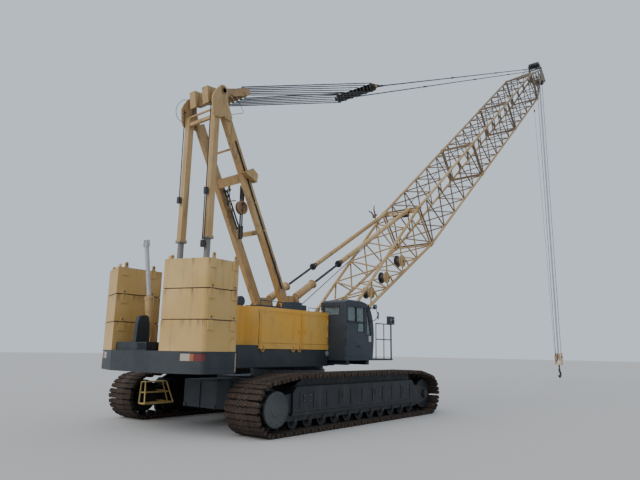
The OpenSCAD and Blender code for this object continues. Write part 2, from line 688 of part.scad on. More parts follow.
// Gantry pedestal: two columns with clevises for the legs and the backstops
pedestal_in = 500;
pedestal_out = 780;
module gantry_pedestal() placed(tan_yellow) both_sides() difference() {
    union() {
        plate((pedestal_in + pedestal_out) / 2, pedestal_out - pedestal_in,
            [[-1480, deck_top], [-120, deck_top], [-260, 3500], [-1350, 3500]]);
        for (y = [pedestal_in + 15, pedestal_out - 15])
            plate(y, 30, [[-1350, 3480], [-260, 3480], [backstop_foot[0] + 190, backstop_foot[1]],
                [backstop_foot[0] + 80, backstop_foot[1] + 130], [backstop_foot[0] - 80, backstop_foot[1] + 130],
                [leg_foot[0] - 60, leg_foot[1] + 160], [leg_foot[0] - 200, leg_foot[1]]]);
        for (q = [leg_foot, backstop_foot])
            cross_bar(q, 50 - seat, pedestal_in - 25, pedestal_out + 25);
    }
}
module gantry_legs() placed(tan_yellow) {
    u = (leg_top - leg_foot) / norm(leg_top - leg_foot);
    both_sides() difference() {
        union() {
            beam(leg_foot + u * 90, leg_top - u * 20, leg_y, leg_w, leg_d);
            cross_bar(leg_foot, 145, leg_y - leg_w / 2, leg_y + leg_w / 2);
        }
        cross_bar(leg_foot, 50, leg_y - leg_w, leg_y + leg_w);
    }
    // Columns: distance up the leg, depth of the tie, height of the tie
    for (t = [[2550, 150, 150], [4420, 250, 300], [5400, 70, 70]]) {
        q = leg_foot + u * t[0];
        translate([q[0], 0, q[1]]) rotate([0, -atan2(u[1], u[0]), 0])
            block([-t[2] / 2, -leg_y, -t[1] / 2], [t[2] / 2, leg_y, t[1] / 2]);
    }
    // A box bracket and two short pins on the outside of the right leg
    plate(-leg_y - leg_w / 2 - 100, 220, [[-3300, 7740], [-2950, 7960], [-2720, 7810], [-2750, 7530]]);
    for (s = [2566, 3525])
        cross_bar(leg_foot + u * s, 28, -leg_y - leg_w / 2 - 90, -leg_y);
    // Lugs with pins under the deep tie, from which two pairs of links hang
    for (c = hung_links) {
        block([c[0] - 35, c[1] - 20, c[2] - 60], [c[0] + 35, c[1] + 20, c[2] + 160]);
        cross_bar([c[0], c[2]], 18, c[1] - 75, c[1] + 75);
    }
}
// Links that hang from the deep tie. Columns: X, Y, height of the pin, height of the lower end
hung_links = [[-2930, -450, 7440, 5720], [-2975, 150, 7420, 6930]];
module gantry_struts() placed(tan_yellow) {
    u = (strut_top - strut_foot) / norm(strut_top - strut_foot);
    both_sides() {
        rod([strut_foot[0], leg_y, strut_foot[1] + 60],
            [strut_foot[0] + u[0] * 3300, leg_y, strut_foot[1] + u[1] * 3300], 95, 16);
        rod([strut_foot[0], leg_y, strut_foot[1] + 60],
            [strut_foot[0] + u[0] * 620, leg_y, strut_foot[1] + u[1] * 620], 118, 16);
        beam(strut_foot + u * 3150, strut_top, leg_y, leg_w, leg_w);
        beam(strut_foot + u * 3090, strut_foot + u * 3190, leg_y, 250, 250);
        block([strut_foot[0] - 150, leg_y - 150, deck_top], [strut_foot[0] + 150, leg_y + 150, deck_top + 130]);
    }
    // Two ties across the tops of the struts. Columns: X, Z, depth, height
    for (t = [[-4400, 9340, 90, 110], [-4420, 9590, 50, 50]])
        block([t[0] - t[2] / 2, -leg_y, t[1] - t[3] / 2], [t[0] + t[2] / 2, leg_y, t[1] + t[3] / 2]);
}
link_pin = [-4575, 9760];
link_y = leg_y + 10;
head_sheave_r = 230;
// Guards over the head sheaves. Columns: right side, left side, places of its sheaves
head_guards = [[-400, -120, [-320, -200]], [220, 500, [300, 420]]];
guard_side = [[-4560, 10390], [-4200, 10410], [-4040, 10330], [-4080, 10080], [-4300, 9950], [-4480, 9850]];
module gantry_head() placed(tan_yellow) {
    both_sides() {
        difference() {
            plate(head_plate_y, 60, [[-4637, 9865], [-4603, 9546], [-4559, 9364], [-4474, 9279], [-4333, 9286],
                [-4110, 9387], [-4010, 9546], [-3990, 9717], [-4030, 9906], [-4040, 10080], [-4040, 10270],
                [-4110, 10375], [-4200, 10400], [-4320, 10375], [-4420, 10270], [-4560, 10060]]);
            cross_bar(head_axle, 80, head_plate_y - 40, head_plate_y + 40);
        }
        cross_bar(link_pin, 25, link_y - 40, head_plate_y);
    }
    for (g = head_guards) difference() {
        union() {
            for (y = [g[0] + 10, g[1] - 10]) plate(y, 20, guard_side);
            plate((g[0] + g[1]) / 2, g[1] - g[0], [guard_side[0], guard_side[5], guard_side[5] + [25, 5], guard_side[0] + [25, -5]]);
        }
        cross_bar(head_axle, 80, g[0] - 10, g[1] + 10);
    }
}
module gantry_sheaves() placed(rope_black) {
    cross_bar(head_axle, 80 - seat, -head_plate_y - 60, head_plate_y + 60);
    for (g = head_guards, y = g[2]) cross_bar(head_axle, head_sheave_r, y - 40, y + 40);
}
// A ring that hangs on a pin of radius pin_r, and the bar below it
module hanging_bar(at, y, pin_r, low) {
    difference() {
        cross_bar(at, pin_r + 25, y - 15, y + 15);
        cross_bar(at, pin_r + seat, y - 40, y + 40);
    }
    rod([at[0], y, at[1] - pin_r - 12], [at[0], y, low], 16, 8);
}
module gantry_links() placed(rope_black) {
    // Columns: side, height of the link's lower end
    for (t = [[1, 6880], [-1, 6980]]) {
        y = t[0] * link_y;
        hanging_bar(link_pin, y, 25, t[1]);
        block([link_pin[0] - 50, y - 55, t[1] - 200], [link_pin[0] + 50, y + 55, t[1]]);
    }
    for (y = [-link_y - 40, -link_y + 40]) {
        rod([link_pin[0], y, 6790], [link_pin[0], y, 5340], 16, 8);
        block([link_pin[0] - 45, y - 28, 5150], [link_pin[0] + 45, y + 28, 5350]);
    }
    for (c = hung_links, y = [c[1] - 45, c[1] + 45]) {
        hanging_bar([c[0], c[2]], y, 18, c[3]);
        block([c[0] - 40, y - 24, c[3] - 40], [c[0] + 40, y + 24, c[3] + 120]);
    }
    c = hung_links[0];
    block([c[0] - 40, c[1] - 69, 6950], [c[0] + 40, c[1] + 69, 7030]);
    cross_bar([c[0], 6720], 200, c[1] - 28, c[1] + 28);
    cross_bar([c[0], 6720], 30, c[1] - 75, c[1] + 160);
}
// Weight cylinder: it leans to the rear, with its rod out. Places of its foot, barrel top and eye
cylinder_foot = [-5290, gear_z + 180];
cylinder_mid = [-5449, 3680];
cylinder_eye = [-5670, 5220];
cylinder_y = 560;
module weight_cylinder() placed(tan_yellow) {
    a = [cylinder_foot[0], cylinder_y, cylinder_foot[1]];
    m = [cylinder_mid[0], cylinder_y, cylinder_mid[1]];
    b = [cylinder_eye[0], cylinder_y, cylinder_eye[1]];
    rod(a, m, 125, 24);
    rod(m, b, 62, 16);
    cross_bar(cylinder_foot, 110, cylinder_y - 90, cylinder_y + 90);
    for (s = [-1, 1]) {
        block([cylinder_foot[0] - 110, cylinder_y + s * 115 - 20, gear_z],
            [cylinder_foot[0] + 110, cylinder_y + s * 115 + 20, cylinder_foot[1] + 80]);
        plate(cylinder_y + s * 66, 26, [cylinder_eye + [-60, -120], cylinder_eye + [70, -100], cylinder_eye + [50, 90],
            cylinder_eye + [-50, 90]]);
    }
    cross_bar(cylinder_foot, 35, cylinder_y - 140, cylinder_y + 140);
    cross_bar(cylinder_eye, 30, cylinder_y - 88, cylinder_y + 88);
    cross_bar([cylinder_eye[0] + 10, cylinder_eye[1] - 90], 45, cylinder_y - 70, cylinder_y + 70);
}

// Cab: a hollow shell with a raked front, its door opening and its windows cut
cab_left = cab_right + cab_w;
cab_top = cab_z + cab_h;
function cab_side(g) = [[cab_rear + g, cab_z + g], [cab_front - g, cab_z + g], [cab_front - g, cab_z + 880],
    [cab_front - 250 - g, cab_top - 190], [cab_front - 420, cab_top - 50 - g], [cab_front - 700, cab_top - g],
    [cab_rear + 160, cab_top - g], [cab_rear + g, cab_top - 90]];
cab_door_x = [cab_rear + 60, cab_rear + 1200];
cab_door_z = [cab_z + 60, cab_top - 160];
cab_hinge = [cab_door_x[0] + run / 2, cab_right - knuckle_r];
module cab_shell() placed(charcoal) {
    cab_body();
    hinge_fixed(cab_hinge, -1, -1, cab_door_z[0] + 200);
}
module cab_body() difference() {
    plate(cab_right + cab_w / 2, cab_w, cab_side(0));
    plate(cab_right + cab_w / 2, cab_w - 2 * cab_wall, cab_side(cab_wall));
    block([cab_door_x[0], cab_right - 10, cab_door_z[0]], [cab_door_x[1], cab_right + cab_wall + 1, cab_door_z[1]]);
    cab_cuts();
}
// Columns: lowest corner, highest corner of each square window opening
cab_rear_window = [[cab_rear - 5, cab_right + 250, cab_top - 520], [cab_rear + cab_wall + 5, cab_left - 120, cab_top - 220]];
cab_left_window = [[cab_rear + 200, cab_left - cab_wall - 5, cab_z + 850], [cab_rear + 1100, cab_left + 5, cab_top - 220]];
cab_front_window = [[cab_front - cab_wall - 5, cab_right + 120, cab_z + 260], [cab_front + 5, cab_left - 120, cab_z + 800]];
module cab_cuts() {
    for (q = [cab_rear_window, cab_left_window, cab_front_window]) block(q[0], q[1]);
    rake_window(cab_wall + 60);
    translate([0, cab_right + 5, 0]) plate(0, 140, quarter_window());
}
rake_a = [cab_front, cab_z + 880];
rake_b = [cab_front - 250, cab_top - 190];
module rake_window(t) {
    v = rake_b - rake_a;
    translate([rake_a[0], 0, rake_a[1]]) rotate([0, -atan2(v[1], v[0]), 0])
        block([60, cab_right + 120, 24 - t / 2], [norm(v) - 60, cab_left - 120, 24 + t / 2]);
}
function quarter_window() = [[cab_door_x[1] + 50, cab_z + 790], [cab_front - 110, cab_z + 790],
    [cab_front - 110, cab_z + 900], [cab_front - 300, cab_top - 290], [cab_door_x[1] + 50, cab_top - 290]];
pane = 8;
module cab_windows() placed([0.35, 0.42, 0.45]) {
    a = cab_rear_window;
    block([cab_rear + 20, a[0][1], a[0][2]], [cab_rear + 20 + pane, a[1][1], a[1][2]]);
    b = cab_left_window;
    block([b[0][0], cab_left - 28, b[0][2]], [b[1][0], cab_left - 20, b[1][2]]);
    c = cab_front_window;
    block([cab_front - 28, c[0][1], c[0][2]], [cab_front - 20, c[1][1], c[1][2]]);
    rake_window(pane);
    plate(cab_right + 24, pane, quarter_window());
}
// Panes of the door. Columns: lower rear corner, upper front corner
door_panes = [[[cab_door_x[0] + 65, cab_z + 1240], [cab_door_x[0] + 545, cab_door_z[1] - 60]],
    [[cab_door_x[0] + 595, cab_z + 1240], [cab_door_x[1] - 90, cab_door_z[1] - 60]],
    [[cab_door_x[0] + 675, cab_z + 900], [cab_door_x[1] - 90, cab_z + 1200]]];
module cab_door() placed(charcoal) {
    difference() {
        block([cab_door_x[0] + run, cab_right, cab_door_z[0] + run],
            [cab_door_x[1] - run, cab_right + cab_wall, cab_door_z[1] - run]);
        for (p = door_panes) block([p[0][0], cab_right - 5, p[0][1]], [p[1][0], cab_right + cab_wall + 5, p[1][1]]);
    }
    block([cab_door_x[0] + 700, cab_right - 40, cab_door_z[0] + 330], [cab_door_x[0] + 980, cab_right - 25, cab_door_z[0] + 380]);
    for (x = [710, 940]) block([cab_door_x[0] + x, cab_right - 30, cab_door_z[0] + 335],
        [cab_door_x[0] + x + 30, cab_right, cab_door_z[0] + 375]);
    hinge_moving(cab_hinge, 1, -1, cab_door_z[0] + 200);
}
module cab_door_window() placed([0.35, 0.42, 0.45]) for (p = door_panes)
    block([p[0][0], cab_right + 20, p[0][1]], [p[1][0], cab_right + 20 + pane, p[1][1]]);
module cab_seat() placed(charcoal) {
    y = cab_right + cab_w / 2;
    block([cab_rear + 500, y - 150, cab_z + cab_wall], [cab_rear + 800, y + 150, cab_z + 420]);
    block([cab_rear + 400, y - 250, cab_z + 420], [cab_rear + 900, y + 250, cab_z + 540]);
    block([cab_rear + 300, y - 240, cab_z + 500], [cab_rear + 420, y + 240, cab_z + 1150]);
}
platform_l = 1330;
rail_xs = [cab_front + 280, cab_front + 800, cab_front + platform_l - 40];
rail_top = cab_z + 1240;
module cab_platform() placed(charcoal) {
    block([cab_rear, cab_right, cab_z - 60], [cab_front + platform_l, -deck_nose_half_w - 20, cab_z]);
    for (x = [cab_rear + 150, cab_front - 300])
        block([x, cab_right + 60, cab_z - 205], [x + 160, -beam_y - 45, cab_z - 60]);
    y = cab_right + 40;
    for (x = rail_xs) rod([x, y, cab_z - 10], [x, y, rail_top], x == rail_xs[2] ? 30 : 18, 8);
    for (z = [rail_top, rail_top - 560]) rod([rail_xs[0] - 15, y, z], [rail_xs[2], y, z], 18, 8);
    // Twin work lamps on top of the front post
    block([rail_xs[2] - 190, y - 65, rail_top], [rail_xs[2] + 160, y + 65, rail_top + 300]);
    for (x = [-110, 80]) cross_bar([rail_xs[2] + x, rail_top + 160], 75, y - 85, y - 60);
}
// Small fittings of the cab: a lamp on its bracket, the mirror on its hoop, grab rails and the roof visor
module cab_fittings() placed(charcoal) {
    y = cab_right - 45;
    for (q = [[cab_front - 270, cab_top - 235], [cab_front - 130, cab_z + 1290]])
        block([q[0] - 50, cab_right - 14, q[1] - 30], [q[0] + 20, cab_right, q[1] + 30]);
    hoop = [[cab_front - 280, cab_top - 232], [cab_front + 160, cab_top - 216], [cab_front + 290, cab_top - 422],
        [cab_front + 124, cab_top - 610], [cab_front - 140, cab_z + 1290]];
    for (i = [0 : 3]) rod([hoop[i][0], y, hoop[i][1]], [hoop[i + 1][0], y, hoop[i + 1][1]], 13, 8);
    for (i = [0, 4]) rod([hoop[i][0] - 4, y - 10, hoop[i][1]], [hoop[i][0] - 4, cab_right - 8, hoop[i][1]], 13, 8);
    plate(y - 10, 30, [hoop[2] + [-40, -150], hoop[2] + [10, -160], hoop[2] + [30, 90], hoop[2] + [-20, 100]]);
    // Round lamp at the front corner of the roof
    rod([cab_front - 320, y, cab_top - 225], [cab_front + 60, y, cab_top - 150], 13, 8);
    cross_bar([cab_front + 75, cab_top - 145], 85, y - 60, y + 20);
    // Grab rail at the rear corner and a small lamp under the roof's edge
    for (z = [cab_z + 420, cab_z + 780]) block([cab_rear + 5, cab_right - 45, z], [cab_rear + 30, cab_right, z + 20]);
    rod([cab_rear + 18, cab_right - 45, cab_z + 410], [cab_rear + 18, cab_right - 45, cab_z + 810], 12, 8);
}
// On the roof: a grating with a low edge rail, and two boxes beside the bay
module roof_walkway() placed(charcoal) {
    z = house_roof_z + w;
    difference() {
        block([-3150, -1690, z], [-1650, -1000, z + 50]);
        for (i = [0 : 9], j = [0 : 4])
            block([-3110 + i * 145, -1660 + j * 130, z + 12], [-2995 + i * 145, -1560 + j * 130, z + 60]);
    }
    for (x = [-3130, -2650, -2170, -1690])
        rod([x, -1675, z + 40], [x, -1675, z + 190], 9, 6);
    rod([-3139, -1675, z + 190], [-1681, -1675, z + 190], 11, 6);
    block([-1640, -1640, z], [-1210, -1150, z + 250]);
    block([-1200, -1620, z], [-950, -1200, z + 180]);
    for (x = [-880, -500, -120]) rod([x, -1660, z], [x, -1660, z + 110], 9, 6);
    rod([-889, -1660, z + 110], [-111, -1660, z + 110], 11, 6);
}

// Bail: hangs on the head axle and points along the boom hoist ropes
reeve = bridle_at - head_axle;
reeve_angle = atan2(reeve[1], reeve[0]);
reeve_l = norm(reeve);
bail_l = 1150;
bail_front = 1400;
bail_sheave_r = 175;
// The ropes fan out from the bail's sheaves to the bridle's. Columns: Y at the bail, Y at the bridle
rope_ys = [for (s = [-1, 1], q = [[100, 190], [300, 560], [500, 890]]) [s * q[0], s * q[1]]];
module in_reeve() {
    translate([head_axle[0], 0, head_axle[1]]) rotate([0, -reeve_angle, 0]) children();
}
module hoist_bail() placed(tan_yellow) in_reeve() {
    both_sides() difference() {
        union() {
            plate(560, 40, [[-40, -130], [bail_front, -115], [bail_front, 115], [-40, 130]]);
            cross_bar([0, 0], 145, 535, 585);
        }
        cross_bar([0, 0], 80, 520, 600);
    }
    block([620, -560, -60], [720, 560, 60]);
    block([bail_front - 60, -560, -100], [bail_front, 560, 100]);
    cross_bar([bail_l, 0], 60, -600, 600);
    for (y = rope_ys) cross_bar([bail_l, 0], bail_sheave_r, y[0] - 28, y[0] + 28);
}
module boom_hoist_ropes() placed(rope_black) in_reeve() for (y = rope_ys, s = [-1, 1]) {
    z = s * (bail_sheave_r + rope_r + seat);
    rod([bail_l, y[0], z], [reeve_l, y[1], z], rope_r, 8);
}

// Bridle: sheaves on a spreader bar, from which the two pendants lead to the boom tip
pendant_tip_y = 530;
pendant_y = bridle_half - 80;
bridle_pin = reeve_l + 200;
bridle_pin_at = head_axle + reeve * bridle_pin / reeve_l;
module bridle() placed(tan_yellow) in_reeve() {
    cross_bar([reeve_l, 0], 60, -bridle_half, bridle_half);
    for (y = rope_ys) cross_bar([reeve_l, 0], bail_sheave_r, y[1] - 28, y[1] + 28);
    block([reeve_l + 185, -pendant_y + 77, -130], [reeve_l + 235, pendant_y - 77, 130]);
    both_sides() {
        for (y = [30, 375, 745]) plate(y, 36, [[reeve_l - 150, -150], [reeve_l + 190, -150], [reeve_l + 190, 150],
            [reeve_l - 150, 150]]);
        for (s = [-1, 1])
            plate(pendant_y + s * 62, 30, [[reeve_l - 90, -90], [reeve_l + 270, -60], [reeve_l + 270, 60], [reeve_l - 90, 90]]);
        cross_bar([bridle_pin, 0], 25, pendant_y - 62, pendant_y + 62);
    }
}
module pendant_eye(at, y) {
    difference() {
        cross_bar(at, 60, y - 25, y + 25);
        cross_bar(at, 25 + seat, y - 40, y + 40);
    }
}
module boom_pendants() placed(rope_black) both_sides() {
    a = [bridle_pin_at[0], pendant_y, bridle_pin_at[1]];
    b = [pendant_tip[0], pendant_tip_y, pendant_tip[1]];
    u = (b - a) / norm(b - a);
    pendant_eye(bridle_pin_at, pendant_y);
    pendant_eye(pendant_tip, pendant_tip_y + 5);
    rod(a + u * 50, b - u * 50, pendant_r, 8);
    // Connectors: two cheeks and a pin. Columns: place as a share of the pendant's length
    for (t = [0.01, 0.3, 0.57, 0.81]) {
        at = a + (b - a) * t;
        rod(at - u * 90, at + u * 260, 45, 8);
        rod(at + u * 85 - [0, 75, 0], at + u * 85 + [0, 75, 0], 24, 8);
    }
}

// Backstops: a fat barrel on the pedestal, its rod, and the tube that slides over the rod
stop = boom_eye - backstop_foot;
stop_angle = atan2(stop[1], stop[0]);
stop_l = norm(stop);
barrel_l = 1250;
collar_at = 2980;
module in_backstop() {
    translate([backstop_foot[0], 0, backstop_foot[1]]) rotate([0, -stop_angle, 0]) children();
}
module stop_bar(x0, x1, r) {
    translate([x0, backstop_y, 0]) rotate([0, 90, 0]) cylinder(r = r, h = x1 - x0);
}
module backstop_barrels() placed(tan_yellow) in_backstop() both_sides() difference() {
    union() {
        cross_bar([0, 0], 95, backstop_y - 80, backstop_y + 80);
        stop_bar(40, 200, 80);
        stop_bar(190, barrel_l, 135);
        stop_bar(barrel_l - 40, barrel_l, 165);
    }
    cross_bar([0, 0], 50, backstop_y - 100, backstop_y + 100);
}
module backstop_rods() placed(rope_black) in_backstop() both_sides() stop_bar(barrel_l, stop_l - 2250, 45);
module backstop_collars() placed(rope_black) in_backstop() both_sides() difference() {
    union() {
        stop_bar(collar_at, collar_at + 130, 120);
        stop_bar(collar_at + 40, collar_at + 90, 138);
    }
    stop_bar(collar_at - 10, collar_at + 140, 45 + seat);
}
module backstop_tubes() placed(tan_yellow) in_backstop() both_sides() difference() {
    union() {
        stop_bar(collar_at + 130, stop_l - 150, 92);
        stop_bar(stop_l - 160, stop_l - 40, 50);
        cross_bar([stop_l, 0], 70, backstop_y - 55, backstop_y + 55);
    }
    stop_bar(collar_at - 10, stop_l - 450, 45 + seat);
    cross_bar([stop_l, 0], 32, backstop_y - 80, backstop_y + 80);
}

// Boom sections: chords, end frames and zigzag lacing on all four faces
// How far a slanting chord stops short of the square end of its section
end_in = 14;
// Lacing on the side faces (y = +-half) and on the top and bottom faces, between x0 and x1.
// Half depths and half widths at the two ends follow [x0, x1].
// mid: height at x1 of the middle between the upper and the lower chords
module lattice(x0, x1, d0, d1, w0, w1, bays, mid = 0) {
    function c(x) = mid * (x - x0) / (x1 - x0);
    function h(x) = d0 + (d1 - d0) * (x - x0) / (x1 - x0);
    function v(x) = w0 + (w1 - w0) * (x - x0) / (x1 - x0);
    step = (x1 - x0) / bays;
    for (i = [0 : bays - 1], s = [-1, 1]) {
        a = x0 + i * step;
        m = a + step / 2;
        b = a + step;
        rod([a, s * v(a), c(a) - h(a)], [m, s * v(m), c(m) + h(m)], lace_r);
        rod([m, s * v(m), c(m) + h(m)], [b, s * v(b), c(b) - h(b)], lace_r);
        rod([a, -v(a), c(a) + s * h(a)], [m, v(m), c(m) + s * h(m)], lace_r);
        rod([m, v(m), c(m) + s * h(m)], [b, -v(b), c(b) + s * h(b)], lace_r);
    }
}
module end_frame(x, h, v) {
    for (s = [-1, 1]) {
        rod([x, s * v, -h], [x, s * v, h], lace_r + 8);
        rod([x, -v, s * h], [x, v, s * h], lace_r + 8);
    }
}
module insert(x0, x1, bays) {
    for (y = [-boom_half, boom_half], z = [-boom_half, boom_half]) {
        rod([x0, y, z], [x1, y, z], chord_r, 12);
        rod([x0, y, z], [x0 + 150, y, z], chord_r + 22, 8);
        rod([x1 - 150, y, z], [x1, y, z], chord_r + 22, 8);
    }
    for (x = [x0 + 100, x1 - 100]) end_frame(x, boom_half, boom_half);
    lattice(x0 + 200, x1 - 200, boom_half, boom_half, boom_half, boom_half, bays);
}
module boom_insert_1() placed(tan_yellow) in_boom() insert(s_base, s_insert_1, 5);
module boom_insert_2() placed(tan_yellow) in_boom() insert(s_insert_1, s_insert_2, 5);
module boom_insert_3() placed(tan_yellow) in_boom() insert(s_insert_2, s_insert_3, 4);

root_d = 60;
module boom_base() placed(tan_yellow) in_boom() {
    both_sides() {
        for (s = [-1, 1]) {
            rod([250, foot_y, s * root_d], [s_base - end_in, boom_half, s * boom_half], chord_r, 12);
            rod([s_base - 150, boom_half, s * boom_half], [s_base, boom_half, s * boom_half], chord_r + 22, 8);
        }
        difference() {
            union() {
                cross_bar([0, 0], 135, foot_y - foot_lug_t / 2, foot_y + foot_lug_t / 2);
                plate(foot_y, foot_lug_t, [[0, -130], [700, -190], [700, 190], [0, 130]]);
            }
            cross_bar([0, 0], 62 + seat, foot_y - 200, foot_y + 200);
        }
        for (y = [backstop_y - 80, backstop_y + 80]) difference() {
            plate(y, 34, [[eye[0] - 110, eye[1] - 170], [eye[0] + 110, eye[1] - 170],
                [eye[0] + 90, eye[1] + 60], [eye[0], eye[1] + 100], [eye[0] - 90, eye[1] + 60]]);
            cross_bar(eye, 32, y - 20, y + 20);
        }
        rod([eye[0], 0, eye[1] - 166], [eye[0], boom_half - 30, eye[1] - 166], lace_r + 8);
    }
    both_sides() block([s_base - 160, 400, boom_half - 290], [s_base - 40, 430, boom_half]);
    // Posts with axles on the right lower chord, which carry the reels
    for (c = reels) {
        h = root_d + (boom_half - root_d) * c[0] / s_base;
        v = foot_y + (boom_half - foot_y) * c[0] / s_base;
        rod([c[0], -v, -h], [c[0], -v, c[1] + 60], 38, 8);
        cross_bar([c[0], c[1]], 36, -v, -reel_y[0] + 25);
    }
    for (x = [700, s_base - 100]) {
        t = x / s_base;
        end_frame(x, root_d + (boom_half - root_d) * t, foot_y + (boom_half - foot_y) * t);
    }
    lattice(1500, s_base - 200, root_d + (boom_half - root_d) * 1500 / s_base,
        boom_half - (boom_half - root_d) * 200 / s_base, foot_y + (boom_half - foot_y) * 1500 / s_base, boom_half, 5);
}

// Short reels between the lower chords of the base section. Columns: place along the boom, height, radius
reels = [[3600, -120, 250], [5000, -270, 250], [6600, -400, 280]];
reel_y = [450, 750];
module boom_reels() placed(grey_steel) in_boom() for (c = reels) difference() {
    union() {
        cross_bar([c[0], c[1]], c[2], -reel_y[1], -reel_y[1] + 30);
        cross_bar([c[0], c[1]], c[2] * 0.72, -reel_y[1] + 20, -reel_y[0] - 20);
        cross_bar([c[0], c[1]], c[2], -reel_y[0] - 30, -reel_y[0]);
    }
    cross_bar([c[0], c[1]], 36 + seat, -reel_y[1] - 10, -reel_y[0] + 10);
}

// Heights of the upper and lower chords at the tip, and where they end before the tip
tip_up = 175;
tip_low = -380;
tip_half = 480;
tip_up_end = 400;
tip_low_end = 950;
lace_end = 1100;
tip_t = 50;
tip_y = tip_half - tip_t / 2;
// Bores for the pins of a fly jib
jib_pin = [boom_l - 120, nose[1] + 500];
jib_pin_r = 38;
// Height and half width of a slanting chord of the top section at x. z1: its height at its end x1
function tip_z(x, x1, z1) = boom_half + (z1 - boom_half) * (x - s_insert_3) / (x1 - s_insert_3);
module boom_top() placed(tan_yellow) in_boom() {
    both_sides() {
        rod([s_insert_3 + end_in, boom_half, boom_half], [boom_l - tip_up_end, tip_half, tip_up], chord_r, 12);
        rod([s_insert_3 + end_in, boom_half, -boom_half], [boom_l - tip_low_end, tip_half, tip_low], chord_r, 12);
        for (s = [-1, 1])
            rod([s_insert_3, boom_half, s * boom_half], [s_insert_3 + 150, boom_half, s * boom_half], chord_r + 22, 8);
        difference() {
            plate(tip_y, tip_t, [[boom_l - tip_low_end - 150, tip_low + 20], [boom_l - tip_low_end, tip_low - 90],
                nose + [-190, -60], nose + [-90, -130], nose + [40, -115], nose + [95, 10], nose + [60, 170],
                nose + [-110, 700], pendant_pin + [85, 60], pendant_pin + [30, 115], upper_axle + [90, -60],
                upper_axle + [70, 75], upper_axle + [-70, 75], upper_axle + [-90, -60], [boom_l - tip_up_end - 90, tip_up + 90],
                [boom_l - tip_up_end - 160, tip_up - 30]]);
            cross_bar(nose, 60, tip_y - tip_t, tip_y + tip_t);
            cross_bar(upper_axle, 45, tip_y - tip_t, tip_y + tip_t);
            cross_bar(jib_pin, jib_pin_r, tip_y - tip_t, tip_y + tip_t);
            // Two openings under the upper sheaves
            cross_bar(pendant_pin + [-150, 60], 62, tip_y - tip_t, tip_y + tip_t);
            cross_bar(pendant_pin + [-20, 160], 55, tip_y - tip_t, tip_y + tip_t);
        }
    }
    cross_bar(pendant_pin, 50, -tip_half - 10, tip_half + 10);
    for (q = [[boom_l - tip_low_end + 80, tip_low - 60], nose + [-130, 480]])
        block([q[0] - 40, -tip_y, q[1] - 40], [q[0] + 40, tip_y, q[1] + 40]);
    end_frame(s_insert_3 + 100, boom_half, boom_half);
    x0 = s_insert_3 + 200;
    x1 = boom_l - lace_end;
    up = tip_z(x1, boom_l - tip_up_end, tip_up);
    low = tip_z(x1, boom_l - tip_low_end, -tip_low);
    wide = (tip_z(x1, boom_l - tip_up_end, tip_half) + tip_z(x1, boom_l - tip_low_end, tip_half)) / 2;
    lattice(x0, x1, boom_half - 30, (up + low) / 2, boom_half - 20, wide, 3, (up - low) / 2);
}
module boom_head_sheaves() placed(rope_black) in_boom() {
    cross_bar(nose, 60 - seat, -tip_half - 30, tip_half + 30);
    for (y = [-240, -120, 0, 120, 240]) cross_bar(nose, tip_sheave_r, y - 40, y + 40);
    cross_bar(upper_axle, 45 - seat, -tip_half - 8, tip_half + 8);
    for (y = [-350, -210, -70, 70, 210, 350]) cross_bar(upper_axle, upper_sheave_r, y - 38, y + 38);
    // Rope guard in front of the sheaves: two bent bars between cross bars
    guard = [upper_axle + [0, 0], upper_axle + [330, -90], nose + [370, 500], nose + [345, 60]];
    for (s = [-1, 1]) {
        y = s * 400;
        for (i = [0 : 2]) rod([guard[i][0], y, guard[i][1]], [guard[i + 1][0], y, guard[i + 1][1]], 16, 8);
    }
    for (q = [guard[1], guard[2], guard[3]]) cross_bar(q, 20, -400, 400);
}
module boom_guide_rollers() placed(rope_black) in_boom() {
    cross_bar([s_base - 100, boom_half - 230], 90, -400, 400);
}

// Hoist ropes hang plumb from the nose to the hook block
module hoist_ropes() placed(rope_black) for (x = [-1, 1], y = [-120, 120])
    rod([nose_at[0] + x * rope_out, y, block_axle_z], [nose_at[0] + x * rope_out, y, nose_at[1]], rope_r, 8);
module hook_block() placed(tan_yellow) {
    cross_bar([nose_at[0], block_axle_z], 60, -260, 260);
    for (y = [-120, 120]) cross_bar([nose_at[0], block_axle_z], block_sheave_r, y - 40, y + 40);
    for (y = [-215, 215])
        plate(y, 50, [[nose_at[0] - 170, block_axle_z - 620], [nose_at[0] + 170, block_axle_z - 620],
            [nose_at[0] + cheek_half, block_axle_z], [nose_at[0] + 200, block_axle_z + 330],
            [nose_at[0] - 200, block_axle_z + 330], [nose_at[0] - cheek_half, block_axle_z]]);
    block([nose_at[0] - 160, -215, block_axle_z - 600], [nose_at[0] + 160, 215, block_axle_z - 460]);
}
hook_drop = 735;
module hook() placed(rope_black) {
    x = nose_at[0];
    z = block_axle_z - 600;
    translate([x, 0, z - 400]) cylinder(r = 55, h = 400);
    translate([x, 0, z - hook_drop]) rotate([90, 0, 0]) rotate([0, 0, -160]) rotate_extrude(angle = 250)
        translate([210, 0]) circle(r = 75);
    translate([x, 0, z - 540]) cylinder(r = 75, h = 200);
}

